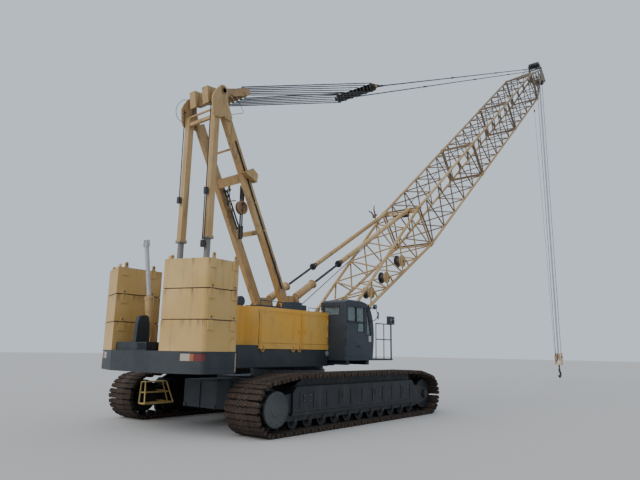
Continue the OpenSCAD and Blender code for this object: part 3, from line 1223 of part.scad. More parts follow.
carbody();
slew_ring();
carbody_weights();
crawler_frame_right();
crawler_frame_left();
track_right();
track_left();
drive_tumblers();
idler_wheels();
track_rollers();
upper_frame();
tail_tray();
counterweight_right();
counterweight_left();
house_shell();
house_door_right_front();
house_door_right_rear();
house_door_left_front();
house_door_left_rear();
engine_block();
air_cleaner();
hoist_drum();
cab_shell();
cab_windows();
cab_door();
cab_door_window();
cab_seat();
cab_platform();
roof_walkway();
gantry_pedestal();
gantry_legs();
gantry_struts();
gantry_head();
gantry_sheaves();
gantry_links();
weight_cylinder();
hoist_bail();
boom_hoist_ropes();
bridle();
boom_pendants();
backstop_barrels();
backstop_rods();
backstop_tubes();
backstop_collars();
boom_base();
boom_insert_1();
boom_insert_2();
boom_insert_3();
boom_top();
boom_head_sheaves();
boom_guide_rollers();
boom_reels();
hoist_ropes();
hook_block();
hook();
frame_steps();
tail_lamps();
tail_gear();
cab_fittings();
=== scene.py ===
# %% [markdown]
# # A crawler crane with a lattice boom
#
# The crane itself, with every joint, comes from the CAD model. This file gives each of its parts
# the finish that years in a yard have left, and adds what is too small for the CAD: rivets, bolts,
# the relief of the track shoes, loose cables and the inside of the cab.
#
# All lengths are metres. X points forward, Y to the operator's left and Z up.

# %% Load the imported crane
import json
import math

import bpy
import numpy as np
from mathutils import Matrix, Vector


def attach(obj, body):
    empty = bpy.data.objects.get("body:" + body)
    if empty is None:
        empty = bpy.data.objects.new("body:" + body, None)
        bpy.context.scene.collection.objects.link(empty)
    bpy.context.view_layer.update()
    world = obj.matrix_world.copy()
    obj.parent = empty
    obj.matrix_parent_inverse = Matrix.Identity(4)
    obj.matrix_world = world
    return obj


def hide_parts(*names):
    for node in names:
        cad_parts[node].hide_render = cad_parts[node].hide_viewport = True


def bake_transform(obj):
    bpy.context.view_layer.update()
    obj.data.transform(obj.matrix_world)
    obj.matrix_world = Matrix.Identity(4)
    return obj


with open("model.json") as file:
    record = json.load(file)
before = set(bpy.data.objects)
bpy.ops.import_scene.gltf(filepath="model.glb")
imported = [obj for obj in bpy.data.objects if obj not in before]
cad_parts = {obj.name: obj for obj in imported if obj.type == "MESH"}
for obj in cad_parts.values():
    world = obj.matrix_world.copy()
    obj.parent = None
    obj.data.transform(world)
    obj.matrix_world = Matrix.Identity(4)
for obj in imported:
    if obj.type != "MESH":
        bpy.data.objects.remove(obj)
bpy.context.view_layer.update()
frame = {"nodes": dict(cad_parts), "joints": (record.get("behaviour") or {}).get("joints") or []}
node = frame["nodes"]
joint = {j["name"]: j for j in frame["joints"]}

# %% [markdown]
# ## Where things are
#
# The crane was measured from the axis that the upper turns about. The CAD has that axis at the
# place of its swing joint, so adding the joint's x to a measured place gives the place in this file.
# The boom and the ropes of its hoist are slanting lines, and what lies on them is placed along them.

# %% The swing axis, the boom's line and the boom hoist's line
SWING_X = joint["swing"]["pos_m"][0]
FOOT = np.array(joint["boom_luff"]["pos_m"])
BOOM_ANGLE = math.radians(38.61)
SIDES = (("right", -1), ("left", 1))


def from_swing(x, y, z):
    """A place measured from the swing axis, as a place in this file."""
    return np.array([x + SWING_X, y, z])


def at_y(y, pairs):
    """Places at one y, from pairs of x and z measured from the swing axis."""
    return np.array([from_swing(x, y, z) for x, z in pairs])


def on_slant(start, angle, u, y, v):
    """A place on a slanting line: u along it from its start, v above it.
    x = start + u cos a - v sin a and z = start + u sin a + v cos a."""
    c, s = math.cos(angle), math.sin(angle)
    u, y, v = np.broadcast_arrays(u, y, v)
    return np.stack([start[0] + u * c - v * s, y, start[2] + u * s + v * c], axis=-1).astype(float)


def on_boom(u, y, v):
    """A place on the boom: u along it from its foot pin, v above its middle line."""
    return on_slant(FOOT, BOOM_ANGLE, u, y, v)


HEAD_X, HEAD_Z = -4.200, 10.220
HEAD = from_swing(HEAD_X, 0.0, HEAD_Z)
REEVE_RUN, REEVE_RISE = 8.250, 3.425
REEVE = float(np.hypot(REEVE_RUN, REEVE_RISE))
REEVE_ANGLE = math.atan2(REEVE_RISE, REEVE_RUN)


def on_reeve(u, y, v):
    """A place on the boom hoist: u along its ropes from the gantry's head axle, v above them."""
    return on_slant(HEAD, REEVE_ANGLE, u, y, v)


print("swing axis at", SWING_X, "boom foot at", FOOT)

# %% [markdown]
# ## The camera
#
# The photograph was taken by someone who stood behind and to the right of the crane and looked
# slightly up. The place and the angles come from a fit of some sixty points of the picture.
# Blender's camera looks along its own -Z, so its matrix holds the right, up and backward vectors.

# %% Camera
PLACE = from_swing(-14.680, -13.366, 2.199)
HEADING, LIFT, ROLL = math.radians(39.252), math.radians(11.426), math.radians(0.872)
FOCAL_PIXELS, PICTURE_PIXELS, SENSOR_WIDTH = 548.137, 640.0, 36.0
ahead = np.array([math.cos(HEADING) * math.cos(LIFT), math.sin(HEADING) * math.cos(LIFT), math.sin(LIFT)])
right = np.array([math.sin(HEADING), -math.cos(HEADING), 0.0])
above = np.cross(right, ahead)
turned_right = math.cos(ROLL) * right + math.sin(ROLL) * above
turned_up = -math.sin(ROLL) * right + math.cos(ROLL) * above

lens = bpy.data.cameras.new("camera")
lens.sensor_width = SENSOR_WIDTH
lens.lens = FOCAL_PIXELS * SENSOR_WIDTH / PICTURE_PIXELS
lens.clip_end = 400.0
camera = bpy.data.objects.new("camera", lens)
bpy.context.scene.collection.objects.link(camera)
matrix = np.eye(4)
matrix[:3] = np.stack([turned_right, turned_up, -ahead, PLACE], axis=-1)
camera.matrix_world = Matrix(matrix.tolist())
bpy.context.scene.camera = camera
print("lens", round(lens.lens, 2), "mm")

# %% [markdown]
# ## Light
#
# The sky is overcast, so the light is soft and comes from everywhere. A pale world colour does most
# of it, and one very large, weak sun above and behind the crane lights the rear faces a little more
# than the sides, as in the photo.

# %% Sky and sun
world = bpy.data.worlds.new("overcast")
bpy.context.scene.world = world
world.use_nodes = True
sky = world.node_tree.nodes["Background"]
sky.inputs["Color"].default_value = (0.62, 0.70, 0.80, 1.0)
sky.inputs["Strength"].default_value = 1.05

sun_light = bpy.data.lights.new("sun", "SUN")
sun_light.energy = 2.0
sun_light.angle = math.radians(60.0)
sun_light.color = (1.0, 0.96, 0.90)
sun = bpy.data.objects.new("sun", sun_light)
sun.rotation_euler = Vector((0.76, -0.12, -0.64)).to_track_quat("-Z", "Y").to_euler()
bpy.context.scene.collection.objects.link(sun)

# %% [markdown]
# ## Surfaces from arrays
#
# Every new piece is a surface that numpy works out as one array of points. Three helpers cover
# nearly all of them: a tube carried along a path, a set of cuboids, and a shape turned on a lathe.

# %% Joining and placing arrays
def merged(shapes):
    """Several (points, faces) as one, with each face's numbers raised by the points before it."""
    points, faces, start = [], [], 0
    for p, f in shapes:
        points.append(p)
        faces += [[i + start for i in face] for face in f]
        start += len(p)
    return np.concatenate(points), faces


def repeated(shape, places):
    """The same shape at each of the places: all copies of its points in one array."""
    points, faces = shape
    places = np.atleast_2d(places)
    starts = (np.arange(len(places)) * len(points)).tolist()
    return ((points[None] + places[:, None]).reshape(-1, 3),
            [[i + start for i in face] for start in starts for face in faces])


def in_line(values, axis):
    """Steps along one axis, with zeros along the other two."""
    return np.outer(values, np.eye(3)["xyz".index(axis)])


def circle(count, radius, axis):
    """Places on a circle round the origin: r (cos t, sin t), and zero along the circle's axis."""
    t = np.arange(count) * 2 * math.pi / count
    return np.insert(radius * np.stack([np.cos(t), np.sin(t)], -1), "xyz".index(axis), 0.0, axis=1)


def put(name, shape, finish, body, smooth=False):
    """Puts (points, faces) into a mesh that has its place in its points, and lets it ride on a body,
    unless the body is None."""
    points, faces = shape
    mesh = bpy.data.meshes.new(name)
    mesh.from_pydata(points.tolist(), [], faces)
    mesh.polygons.foreach_set("use_smooth", np.full(len(mesh.polygons), smooth))
    mesh.materials.append(finish)
    mesh.update()
    piece = bpy.data.objects.new(name, mesh)
    bpy.context.scene.collection.objects.link(piece)
    if body:
        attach(piece, body)
    return piece


# %% Faces between rings of points
def quads(rings, sides):
    """The faces between so many rings of points that follow each other."""
    pairs = [(i, (i + 1) % sides) for i in range(sides)]
    return [[k + a, k + b, k + b + sides, k + a + sides]
            for k in range(0, (rings - 1) * sides, sides) for a, b in pairs]


def capped(rings, sides):
    """The faces of a tube of so many rings, with a flat cap at each end."""
    last = (rings - 1) * sides
    return quads(rings, sides) + [list(range(sides))[::-1], [last + i for i in range(sides)]]


def pointed(rings, sides):
    """The faces of so many rings between two poles, whose points come after those of the rings."""
    pairs = [(i, (i + 1) % sides) for i in range(sides)]
    pole, last = rings * sides, (rings - 1) * sides
    return (quads(rings, sides) + [[pole, b, a] for a, b in pairs]
            + [[pole + 1, last + a, last + b] for a, b in pairs])


# %% A tube along a path
def tube(path, radius, sides=8):
    """A round tube: at each point of the path a ring, centre + r (cos t n1 + sin t n2), where n1 and
    n2 are at right angles to the path. The axis that the path follows least gives n1."""
    path = np.asarray(path, float)
    along = np.gradient(path, axis=0)
    along /= np.linalg.norm(along, axis=1, keepdims=True)
    reach = path.max(0) - path.min(0) if len(path) > 2 else np.abs(along[0])
    n1 = np.cross(along, np.eye(3)[int(np.argmin(reach))])
    n1 /= np.linalg.norm(n1, axis=1, keepdims=True)
    n2 = np.cross(along, n1)
    t = np.linspace(0, 2 * np.pi, sides, endpoint=False)[:, None]
    r = np.broadcast_to(np.asarray(radius, float), (len(path),))[:, None, None]
    rings = path[:, None] + r * (np.cos(t) * n1[:, None] + np.sin(t) * n2[:, None])
    return rings.reshape(-1, 3), capped(len(path), sides)


# %% Cuboids
CORNERS = np.array([[x, y, z] for x in (-1, 1) for y in (-1, 1) for z in (-1, 1)], float)
BOX_FACES = np.array([[0, 1, 3, 2], [4, 6, 7, 5], [0, 4, 5, 1], [2, 3, 7, 6], [0, 2, 6, 4], [1, 5, 7, 3]])


def box_faces(count):
    """The faces of so many cuboids whose corners follow each other in the order of CORNERS."""
    return (np.arange(count)[:, None, None] * 8 + BOX_FACES[None]).reshape(-1, 4).tolist()


def cuboids(middles, halves, turns=None):
    """Cuboids at the middles: corner = middle + turn (half * sign), for the eight signs at once."""
    middles = np.atleast_2d(np.asarray(middles, float))
    corners = np.broadcast_to(np.asarray(halves, float), middles.shape)[:, None] * CORNERS[None]
    if turns is not None:
        corners = np.einsum("nij,nkj->nki", np.broadcast_to(turns, (len(middles), 3, 3)), corners)
    return (middles[:, None] + corners).reshape(-1, 3), box_faces(len(middles))


def pitch_turn(angle):
    """The matrix of a turn about Y that lifts the +X end by an angle in radians."""
    c, s = math.cos(angle), math.sin(angle)
    return np.array([[c, 0, -s], [0, 1, 0], [s, 0, c]])


# %% Shapes turned on a lathe
def turned(profile, sides=24, axis="y"):
    """A closed shape turned about an axis. The profile holds (radius, height) with radius 0 at both
    ends; each other point makes a ring r (cos t, sin t) at its height."""
    profile = np.asarray(profile, float)
    rings = profile[1:-1]
    t = np.linspace(0, 2 * np.pi, sides, endpoint=False)
    points = np.stack([rings[:, 0, None] * np.cos(t), rings[:, 0, None] * np.sin(t),
                       np.broadcast_to(rings[:, 1, None], (len(rings), sides))], -1).reshape(-1, 3)
    points = np.concatenate([points, [[0, 0, profile[0, 1]], [0, 0, profile[-1, 1]]]])
    faces = pointed(len(rings), sides)
    # A profile that runs downward is inside out, and so is one whose Y and Z change places
    if (profile[0, 1] > profile[-1, 1]) != (axis == "y"):
        faces = [face[::-1] for face in faces]
    return points[:, {"x": [2, 0, 1], "y": [0, 2, 1], "z": [0, 1, 2]}[axis]], faces


def stepped(rings, sign=1, sides=24, axis="y"):
    """A turned shape with flat ends: its rings are (radius, height), and a sign of -1 turns it over."""
    rings = [(radius, sign * height) for radius, height in rings]
    return turned([(0, rings[0][1])] + rings + [(0, rings[-1][1])], sides, axis)


def bolt_head(radius, height, axis="y", sign=1):
    """A six-sided bolt head with its edge taken off, standing on the plane through its place."""
    return stepped([(radius, 0), (radius, 0.75 * height), (0.8 * radius, height)], sign, 6, axis)


# %% [markdown]
# ## Finishes
#
# All paint here has the same layers: a base colour that the sun has faded in patches, dirt that
# the rain has drawn down in streaks, small rusty chips, and a faint unevenness. One function
# builds these layers from noise in Object coordinates, and each finish gives it its own numbers.

# %% Node helpers
def new_material(name):
    """A material with its node tree, its shader and the Object coordinates to build patterns from."""
    material = bpy.data.materials.new(name)
    material.use_nodes = True
    tree = material.node_tree
    place = tree.nodes.new("ShaderNodeTexCoord")
    return material, tree, tree.nodes["Principled BSDF"], place.outputs["Object"]


def noise(tree, place, scale, stretch=(1, 1, 1), detail=4.0, roughness=0.6):
    """Fractal noise at a scale in features per metre, drawn out along the axes with a small stretch."""
    mapping = tree.nodes.new("ShaderNodeMapping")
    mapping.inputs["Scale"].default_value = stretch
    tree.links.new(place, mapping.inputs["Vector"])
    texture = tree.nodes.new("ShaderNodeTexNoise")
    texture.inputs["Scale"].default_value = scale
    texture.inputs["Detail"].default_value = detail
    texture.inputs["Roughness"].default_value = roughness
    tree.links.new(mapping.outputs["Vector"], texture.inputs["Vector"])
    return texture.outputs["Fac"]


def ranged(tree, value, source, target, kind="LINEAR"):
    """A value carried over from one range, given by its ends, to another."""
    ramp = tree.nodes.new("ShaderNodeMapRange")
    ramp.interpolation_type = kind
    for slot, number in zip(("From Min", "From Max", "To Min", "To Max"), (*source, *target)):
        ramp.inputs[slot].default_value = number
    tree.links.new(value, ramp.inputs["Value"])
    return ramp.outputs["Result"]


def step(tree, value, low, high, top=1.0):
    """A smooth step: 0 where the value is under low, and top where it is over high."""
    return ranged(tree, value, (low, high), (0.0, top), "SMOOTHSTEP")


def tinted(tree, under, over, share):
    """The colour under with the colour over laid on it by a share from 0 to 1."""
    mix = tree.nodes.new("ShaderNodeMix")
    mix.data_type = "RGBA"
    for socket, colour in ((mix.inputs["A"], under), (mix.inputs["B"], over)):
        if isinstance(colour, tuple):
            socket.default_value = (*colour, 1.0)
        else:
            tree.links.new(colour, socket)
    tree.links.new(share, mix.inputs["Factor"])
    return mix.outputs["Result"]


def calculated(tree, operation, *terms):
    """The result of a calculation with one to three terms, which are numbers or other results."""
    math_node = tree.nodes.new("ShaderNodeMath")
    math_node.operation = operation
    for socket, term in zip(math_node.inputs, terms):
        if isinstance(term, float):
            socket.default_value = term
        else:
            tree.links.new(term, socket)
    return math_node.outputs["Value"]


def reading(tree, place, axis, size=False):
    """One coordinate of a place, or its size without the sign."""
    split = tree.nodes.new("ShaderNodeSeparateXYZ")
    tree.links.new(place, split.inputs["Vector"])
    return calculated(tree, "ABSOLUTE", split.outputs[axis]) if size else split.outputs[axis]


def split_at(axis, at, before, after, soft=0.01, size=False):
    """A paint that changes from one colour to another where a coordinate passes a value."""
    def colour(tree, place):
        return tinted(tree, before, after, step(tree, reading(tree, place, axis, size), at - soft, at + soft))
    return colour


def relief(tree, shader, height, strength, distance):
    """Lets a value act as a small height on a surface, which only bends the light."""
    bump = tree.nodes.new("ShaderNodeBump")
    bump.inputs["Strength"].default_value = strength
    bump.inputs["Distance"].default_value = distance
    tree.links.new(height, bump.inputs["Height"])
    tree.links.new(bump.outputs["Normal"], shader.inputs["Normal"])


# %% Weathered paint
RUST = (0.115, 0.042, 0.018)
GRIME = (0.060, 0.046, 0.032)


def weathered(name, paint, faded, grime=0.5, rust=0.5, gloss=0.45, grain=1.0, seams=None, metal=0.0):
    """Paint in layers: colour = rust over grime over faded over fresh, each by its own noise. The two
    paints are colours or functions that build one. seams is (height, pitch): rust runs down in
    streaks below each seam."""
    material, tree, shader, place = new_material(name)
    fresh, pale = [layer(tree, place) if callable(layer) else layer for layer in (paint, faded)]
    colour = tinted(tree, fresh, pale, step(tree, noise(tree, place, 0.55 * grain), 0.38, 0.66))
    streaks = step(tree, noise(tree, place, 5.0 * grain, (1, 1, 0.13)), 0.50, 0.78, grime)
    colour = tinted(tree, colour, GRIME, streaks)
    cloudy = step(tree, noise(tree, place, 2.2 * grain, detail=8.0), 0.52, 0.80, grime * 0.6)
    colour = tinted(tree, colour, GRIME, cloudy)
    if seams:
        height, pitch = seams
        slabs = calculated(tree, "MULTIPLY_ADD", reading(tree, place, "Z"), 1.0 / pitch, -height / pitch)
        under = step(tree, calculated(tree, "FRACT", slabs), 0.62, 1.0)
        drips = step(tree, noise(tree, place, 9.0, (1, 1, 0.05)), 0.45, 0.70, 0.75)
        colour = tinted(tree, colour, RUST, calculated(tree, "MULTIPLY", under, drips))
    chips = step(tree, noise(tree, place, 11.0 * grain, detail=9.0, roughness=0.72), 0.66, 0.71, rust)
    tree.links.new(tinted(tree, colour, RUST, chips), shader.inputs["Base Color"])
    dull = ranged(tree, noise(tree, place, 3.0 * grain, detail=6.0), (0.0, 1.0), (gloss - 0.08, gloss + 0.30))
    tree.links.new(dull, shader.inputs["Roughness"])
    shader.inputs["Metallic"].default_value = metal
    relief(tree, shader, noise(tree, place, 6.0 * grain, detail=8.0), 0.12, 0.01)
    return material


# %% Paints that change from place to place
TAN, TAN_PALE = (0.40, 0.250, 0.098), (0.50, 0.345, 0.165)
# Painted shade: the lacing's tan is darkened to stand in for shade, and the far colour darkens the boom
# towards its tip.
LACING_SHADE, BOOM_FAR_SHADE = (0.165, 0.108, 0.056), (0.095, 0.072, 0.050)
SEAMS, SEAM_DARK = (2.939, 3.739), (0.075, 0.040, 0.020)


def lattice_shade_colour(chord):
    """The lacing of the sections is painted darker than their chords as painted shade. The chords lie at the
    corners where both
    |y| and the height above the middle line are over 0.9 m. Both darken along the boom as painted shade towards the tip."""
    def colour(tree, place):
        up = tree.nodes.new("ShaderNodeVectorMath")
        up.operation = "DOT_PRODUCT"
        up.inputs[1].default_value = (-math.sin(BOOM_ANGLE), 0.0, math.cos(BOOM_ANGLE))
        tree.links.new(place, up.inputs[0])
        middle = FOOT[2] * math.cos(BOOM_ANGLE) - FOOT[0] * math.sin(BOOM_ANGLE)
        height = calculated(tree, "ABSOLUTE", calculated(tree, "SUBTRACT", up.outputs["Value"], middle))
        corner = calculated(tree, "MULTIPLY", step(tree, height, 0.90, 0.92),
                            step(tree, reading(tree, place, "Y", True), 0.90, 0.92))
        plain = tinted(tree, LACING_SHADE, chord, corner)
        return tinted(tree, plain, BOOM_FAR_SHADE, step(tree, reading(tree, place, "Z"), 10.0, 26.0, 0.75))
    return colour


def seamed(paint):
    """The slabs' paint with a dark, rusty line about 25 mm high where one lies on the next."""
    def colour(tree, place):
        now, height = paint, reading(tree, place, "Z")
        for seam in SEAMS:
            now = tinted(tree, now, SEAM_DARK, step(tree, height, seam - 0.016, seam - 0.010))
            now = tinted(tree, now, paint, step(tree, height, seam + 0.008, seam + 0.014))
        return now
    return colour


def lamp_colour(tree, place):
    """White, amber and red, one after another outward along the slanted corner."""
    amber = split_at("Y", 1.995, (0.38, 0.34, 0.27), (0.30, 0.10, 0.035), 0.004, True)(tree, place)
    outer = step(tree, reading(tree, place, "Y", True), 2.098, 2.106)
    return tinted(tree, amber, (0.135, 0.018, 0.018), outer)


# %% The crane's paints
boom_tan = weathered("boom_tan_paint", TAN, TAN_PALE, grime=0.6, rust=0.8)
gantry_tan = weathered("gantry_paint", (0.385, 0.235, 0.090), (0.47, 0.32, 0.15), grime=0.95, rust=1.0)
# The lattice sections carry painted shade on their lacing and towards the tip.
lattice_tan_with_shade = weathered("lattice_paint", lattice_shade_colour(TAN), lattice_shade_colour(TAN_PALE), grime=0.6, rust=0.9)
stack_tan = weathered("stack_tan_paint", seamed((0.50, 0.315, 0.102)), seamed((0.56, 0.375, 0.148)),
                      grime=0.28, rust=0.5, seams=(2.139, 0.8))
# Dark tan on the boom's top is painted shade over its sheaves and guards.
dark_tan_as_shade = weathered("darker_paint_near_the_tip", (0.118, 0.088, 0.058), (0.170, 0.128, 0.082),
                    grime=0.7, rust=0.9)
label_pale = weathered("blank_label", (0.48, 0.44, 0.41), (0.55, 0.52, 0.48), grime=0.4, rust=0.1)
steps_yellow = weathered("faded_steps_paint", (0.62, 0.44, 0.15), (0.68, 0.52, 0.26), grime=0.3, rust=0.5)
cover_grey = weathered("worn_cover_steel", (0.030, 0.034, 0.037), (0.060, 0.066, 0.066), grime=0.6, rust=0.4)
cylinder_tan = weathered("cylinder_paint_and_rod", split_at("Z", 3.71, TAN, (0.40, 0.41, 0.42)),
                         split_at("Z", 3.71, TAN_PALE, (0.52, 0.52, 0.52)), grime=0.3, rust=0.3, gloss=0.3)
hook_pale = weathered("hook_block_paint", (0.52, 0.34, 0.20), (0.60, 0.44, 0.30), grime=0.4, rust=0.6)
strut_tan = weathered("strut_paint_above_grey_feet", split_at("Z", 5.47, (0.155, 0.150, 0.140), TAN),
                      split_at("Z", 5.47, (0.22, 0.21, 0.195), TAN_PALE), grime=0.55, rust=0.6)
house_yellow = weathered("house_yellow_paint", (0.70, 0.345, 0.033), (0.65, 0.380, 0.088),
                         grime=0.32, rust=0.7)
frame_blue = weathered("frame_blue_grey_paint", (0.017, 0.023, 0.029), (0.031, 0.038, 0.045),
                       grime=0.5, rust=0.3)
track_blue = weathered("crawler_frame_paint", (0.007, 0.009, 0.011), (0.014, 0.017, 0.020),
                       grime=0.45, rust=0.4)
cab_grey = weathered("cab_blue_grey_paint", split_at("Z", 3.86, (0.022, 0.030, 0.042), (0.060, 0.063, 0.068)),
                     split_at("Z", 3.86, (0.031, 0.040, 0.053), (0.085, 0.087, 0.090)), grime=0.10, rust=0.03)
steel_grey = weathered("bare_grey_steel", (0.19, 0.21, 0.22), (0.30, 0.31, 0.32),
                       grime=0.7, rust=0.8, metal=0.3)
black_iron = weathered("black_iron", (0.016, 0.016, 0.018), (0.032, 0.030, 0.029), grime=0.4, rust=0.4)
sheave_tan = weathered("worn_sheave_paint", (0.25, 0.19, 0.12), (0.30, 0.27, 0.22),
                       grime=0.8, rust=0.8, gloss=0.35)
rusty_tan = weathered("rusty_tan_paint", (0.36, 0.225, 0.098), (0.25, 0.135, 0.070), grime=0.6, rust=1.0)
reel_tan = weathered("reel_paint", split_at("Y", -0.715, TAN_PALE, (0.035, 0.034, 0.034)),
                     split_at("Y", -0.715, TAN, (0.06, 0.055, 0.05)), grime=0.4, rust=0.6)
rope_dark = weathered("greased_rope", (0.010, 0.011, 0.013), (0.020, 0.021, 0.025),
                      grime=0.3, rust=0.2, gloss=0.5, grain=3.0)
rubber = weathered("dull_rubber", (0.014, 0.014, 0.015), (0.022, 0.022, 0.023),
                   grime=0.25, rust=0.0, gloss=0.65)
lamp_lens = weathered("ribbed_lamp_lens", lamp_colour, lamp_colour, grime=0.25, rust=0.0, gloss=0.2)
print("paints", len(bpy.data.materials))

# %% Mud on the tracks
def muddy(name, earth, steel, share):
    """Cast steel under dried mud: earth laid over steel by noise, with coarse lumps as a bump."""
    material, tree, shader, place = new_material(name)
    lumps = noise(tree, place, 3.2, detail=9.0, roughness=0.7)
    colour = tinted(tree, steel, earth, step(tree, lumps, 0.5 - share / 2, 0.75 - share / 2))
    rusty = step(tree, noise(tree, place, 1.1), 0.45, 0.7, 0.6)
    colour = tinted(tree, colour, (0.055, 0.029, 0.018), rusty)
    pale = step(tree, noise(tree, place, 14.0, detail=6.0), 0.58, 0.72, 0.5)
    tree.links.new(tinted(tree, colour, (0.24, 0.19, 0.145), pale), shader.inputs["Base Color"])
    shader.inputs["Roughness"].default_value = 0.9
    relief(tree, shader, noise(tree, place, 22.0, detail=8.0), 0.6, 0.02)
    return material


track_mud = muddy("muddy_shoe_steel", (0.038, 0.024, 0.016), (0.016, 0.014, 0.013), 0.5)

# %% Glass
def pane(name, colour):
    """Window glass: clear but tinted, with a film of dust that dulls it here and there."""
    material, tree, shader, place = new_material(name)
    shader.inputs["Base Color"].default_value = (*colour, 1.0)
    shader.inputs["Transmission Weight"].default_value = 0.85
    shader.inputs["IOR"].default_value = 1.45
    film = ranged(tree, noise(tree, place, 7.0, detail=8.0), (0.0, 1.0), (0.03, 0.22))
    tree.links.new(film, shader.inputs["Roughness"])
    return material


cab_glass = pane("tinted_cab_glass", (0.42, 0.50, 0.52))

# %% Which node has which finish
WEARS = {
    gantry_tan: ["gantry_pedestal", "gantry_legs", "gantry_head"],
    boom_tan: ["backstop_barrels", "backstop_tubes", "boom_base"],
    lattice_tan_with_shade: ["boom_insert_1", "boom_insert_2", "boom_insert_3"],
    steps_yellow: ["frame_steps"],
    track_blue: ["crawler_frame_right", "crawler_frame_left", "idler_wheels", "track_rollers",
                 "drive_tumblers"],
    dark_tan_as_shade: ["boom_top"],
    cylinder_tan: ["weight_cylinder"],
    hook_pale: ["hook_block"],
    strut_tan: ["gantry_struts"],
    stack_tan: ["counterweight_right", "counterweight_left"],
    house_yellow: ["house_shell", "house_door_right_front", "house_door_right_rear", "house_door_left_front",
                   "house_door_left_rear"],
    frame_blue: ["carbody", "carbody_weights", "upper_frame", "tail_tray", "tail_gear"],
    cab_grey: ["cab_shell", "cab_door", "cab_platform", "cab_seat", "cab_fittings", "air_cleaner",
               "roof_walkway"],
    steel_grey: ["slew_ring", "engine_block", "hoist_drum"],
    black_iron: ["gantry_links", "boom_head_sheaves", "boom_guide_rollers", "hook", "bridle",
                 "backstop_rods", "backstop_collars"],
    sheave_tan: ["gantry_sheaves"],
    rusty_tan: ["hoist_bail"],
    reel_tan: ["boom_reels"],
    lamp_lens: ["tail_lamps"],
    rope_dark: ["boom_hoist_ropes", "boom_pendants", "hoist_ropes"],
    track_mud: ["track_right", "track_left"],
    cab_glass: ["cab_windows", "cab_door_window"],
}
for finish, names in WEARS.items():
    for name in names:
        node[name].data.materials.clear()
        node[name].data.materials.append(finish)
bare = sorted(set(node) - {n for names in WEARS.values() for n in names})
print("nodes without a finish", bare)

# %% [markdown]
# ## Tracks
#
# A track is a closed chain of cast shoes. Each shoe has a broad middle that interlocks with the
# next one, two narrower ends with ribs that grip the ground, and a drive lug inside. The CAD has
# the loop with plain shoes. Here the shoes are laid along the same loop with their real relief, in
# the same outline: every corner is (share of the pitch, distance across, depth under the tread),
# and one function bends all corners of all shoes round the loop at once.

# %% The loop of a track
AXLE_X, WRAP_R, TOP_Z, SHOES = 4.090, 0.709, 1.560, 61
TOP_REAR, TOP_FRONT = -3.060, 3.500
SHOE_HALF, TRACK_Y = 0.6095, 2.7735


def slope_angle(cx, hx):
    """Where the wrap ends: the angle of the line to the top run's end, plus or minus its tangent's."""
    v = np.array([hx - cx, TOP_Z - WRAP_R])
    side = math.acos(WRAP_R / np.linalg.norm(v))
    return math.atan2(v[1], v[0]) + (side if hx > cx else -side)


FRONT_END, REAR_END = slope_angle(AXLE_X, TOP_FRONT), slope_angle(-AXLE_X, TOP_REAR)
front_point = np.array([AXLE_X + WRAP_R * math.cos(FRONT_END), WRAP_R + WRAP_R * math.sin(FRONT_END)])
rear_point = np.array([-AXLE_X + WRAP_R * math.cos(REAR_END), WRAP_R + WRAP_R * math.sin(REAR_END)])
LEGS = np.array([2 * AXLE_X, WRAP_R * (FRONT_END + math.pi / 2),
                 np.linalg.norm([TOP_FRONT, TOP_Z] - front_point), TOP_FRONT - TOP_REAR,
                 np.linalg.norm([TOP_REAR, TOP_Z] - rear_point), WRAP_R * (1.5 * math.pi - REAR_END)])
ENDS = np.cumsum(LEGS)
PITCH = ENDS[-1] / SHOES
print("track length", round(ENDS[-1], 3), "pitch", round(PITCH, 4))


def on_track(s, depth):
    """Places along the loop: straight runs are start + s d + depth n, wraps are centre + (R - depth)
    (cos a, sin a) with a = start + s / R. Returns x and z for whole arrays."""
    s, depth = np.broadcast_arrays(np.mod(s, ENDS[-1]), depth)
    leg = np.searchsorted(ENDS, s, side="right").clip(0, 5)
    along = s - np.concatenate([[0.0], ENDS])[leg]
    starts = np.array([[-AXLE_X, 0.0], [AXLE_X, WRAP_R], front_point, [TOP_FRONT, TOP_Z], [TOP_REAR, TOP_Z],
                       [-AXLE_X, WRAP_R]])
    ways = np.zeros((6, 2))
    ways[0], ways[3] = (1, 0), (-1, 0)
    ways[2] = (np.array([TOP_FRONT, TOP_Z]) - front_point) / LEGS[2]
    ways[4] = (rear_point - np.array([TOP_REAR, TOP_Z])) / LEGS[4]
    inward = np.stack([-ways[:, 1], ways[:, 0]], -1)
    straight = starts[leg] + along[..., None] * ways[leg] + depth[..., None] * inward[leg]
    angle = np.where(leg == 1, -math.pi / 2, REAR_END) + along / WRAP_R
    bent = starts[leg] + (WRAP_R - depth)[..., None] * np.stack([np.cos(angle), np.sin(angle)], -1)
    return np.where(np.isin(leg, (1, 5))[..., None], bent, straight)


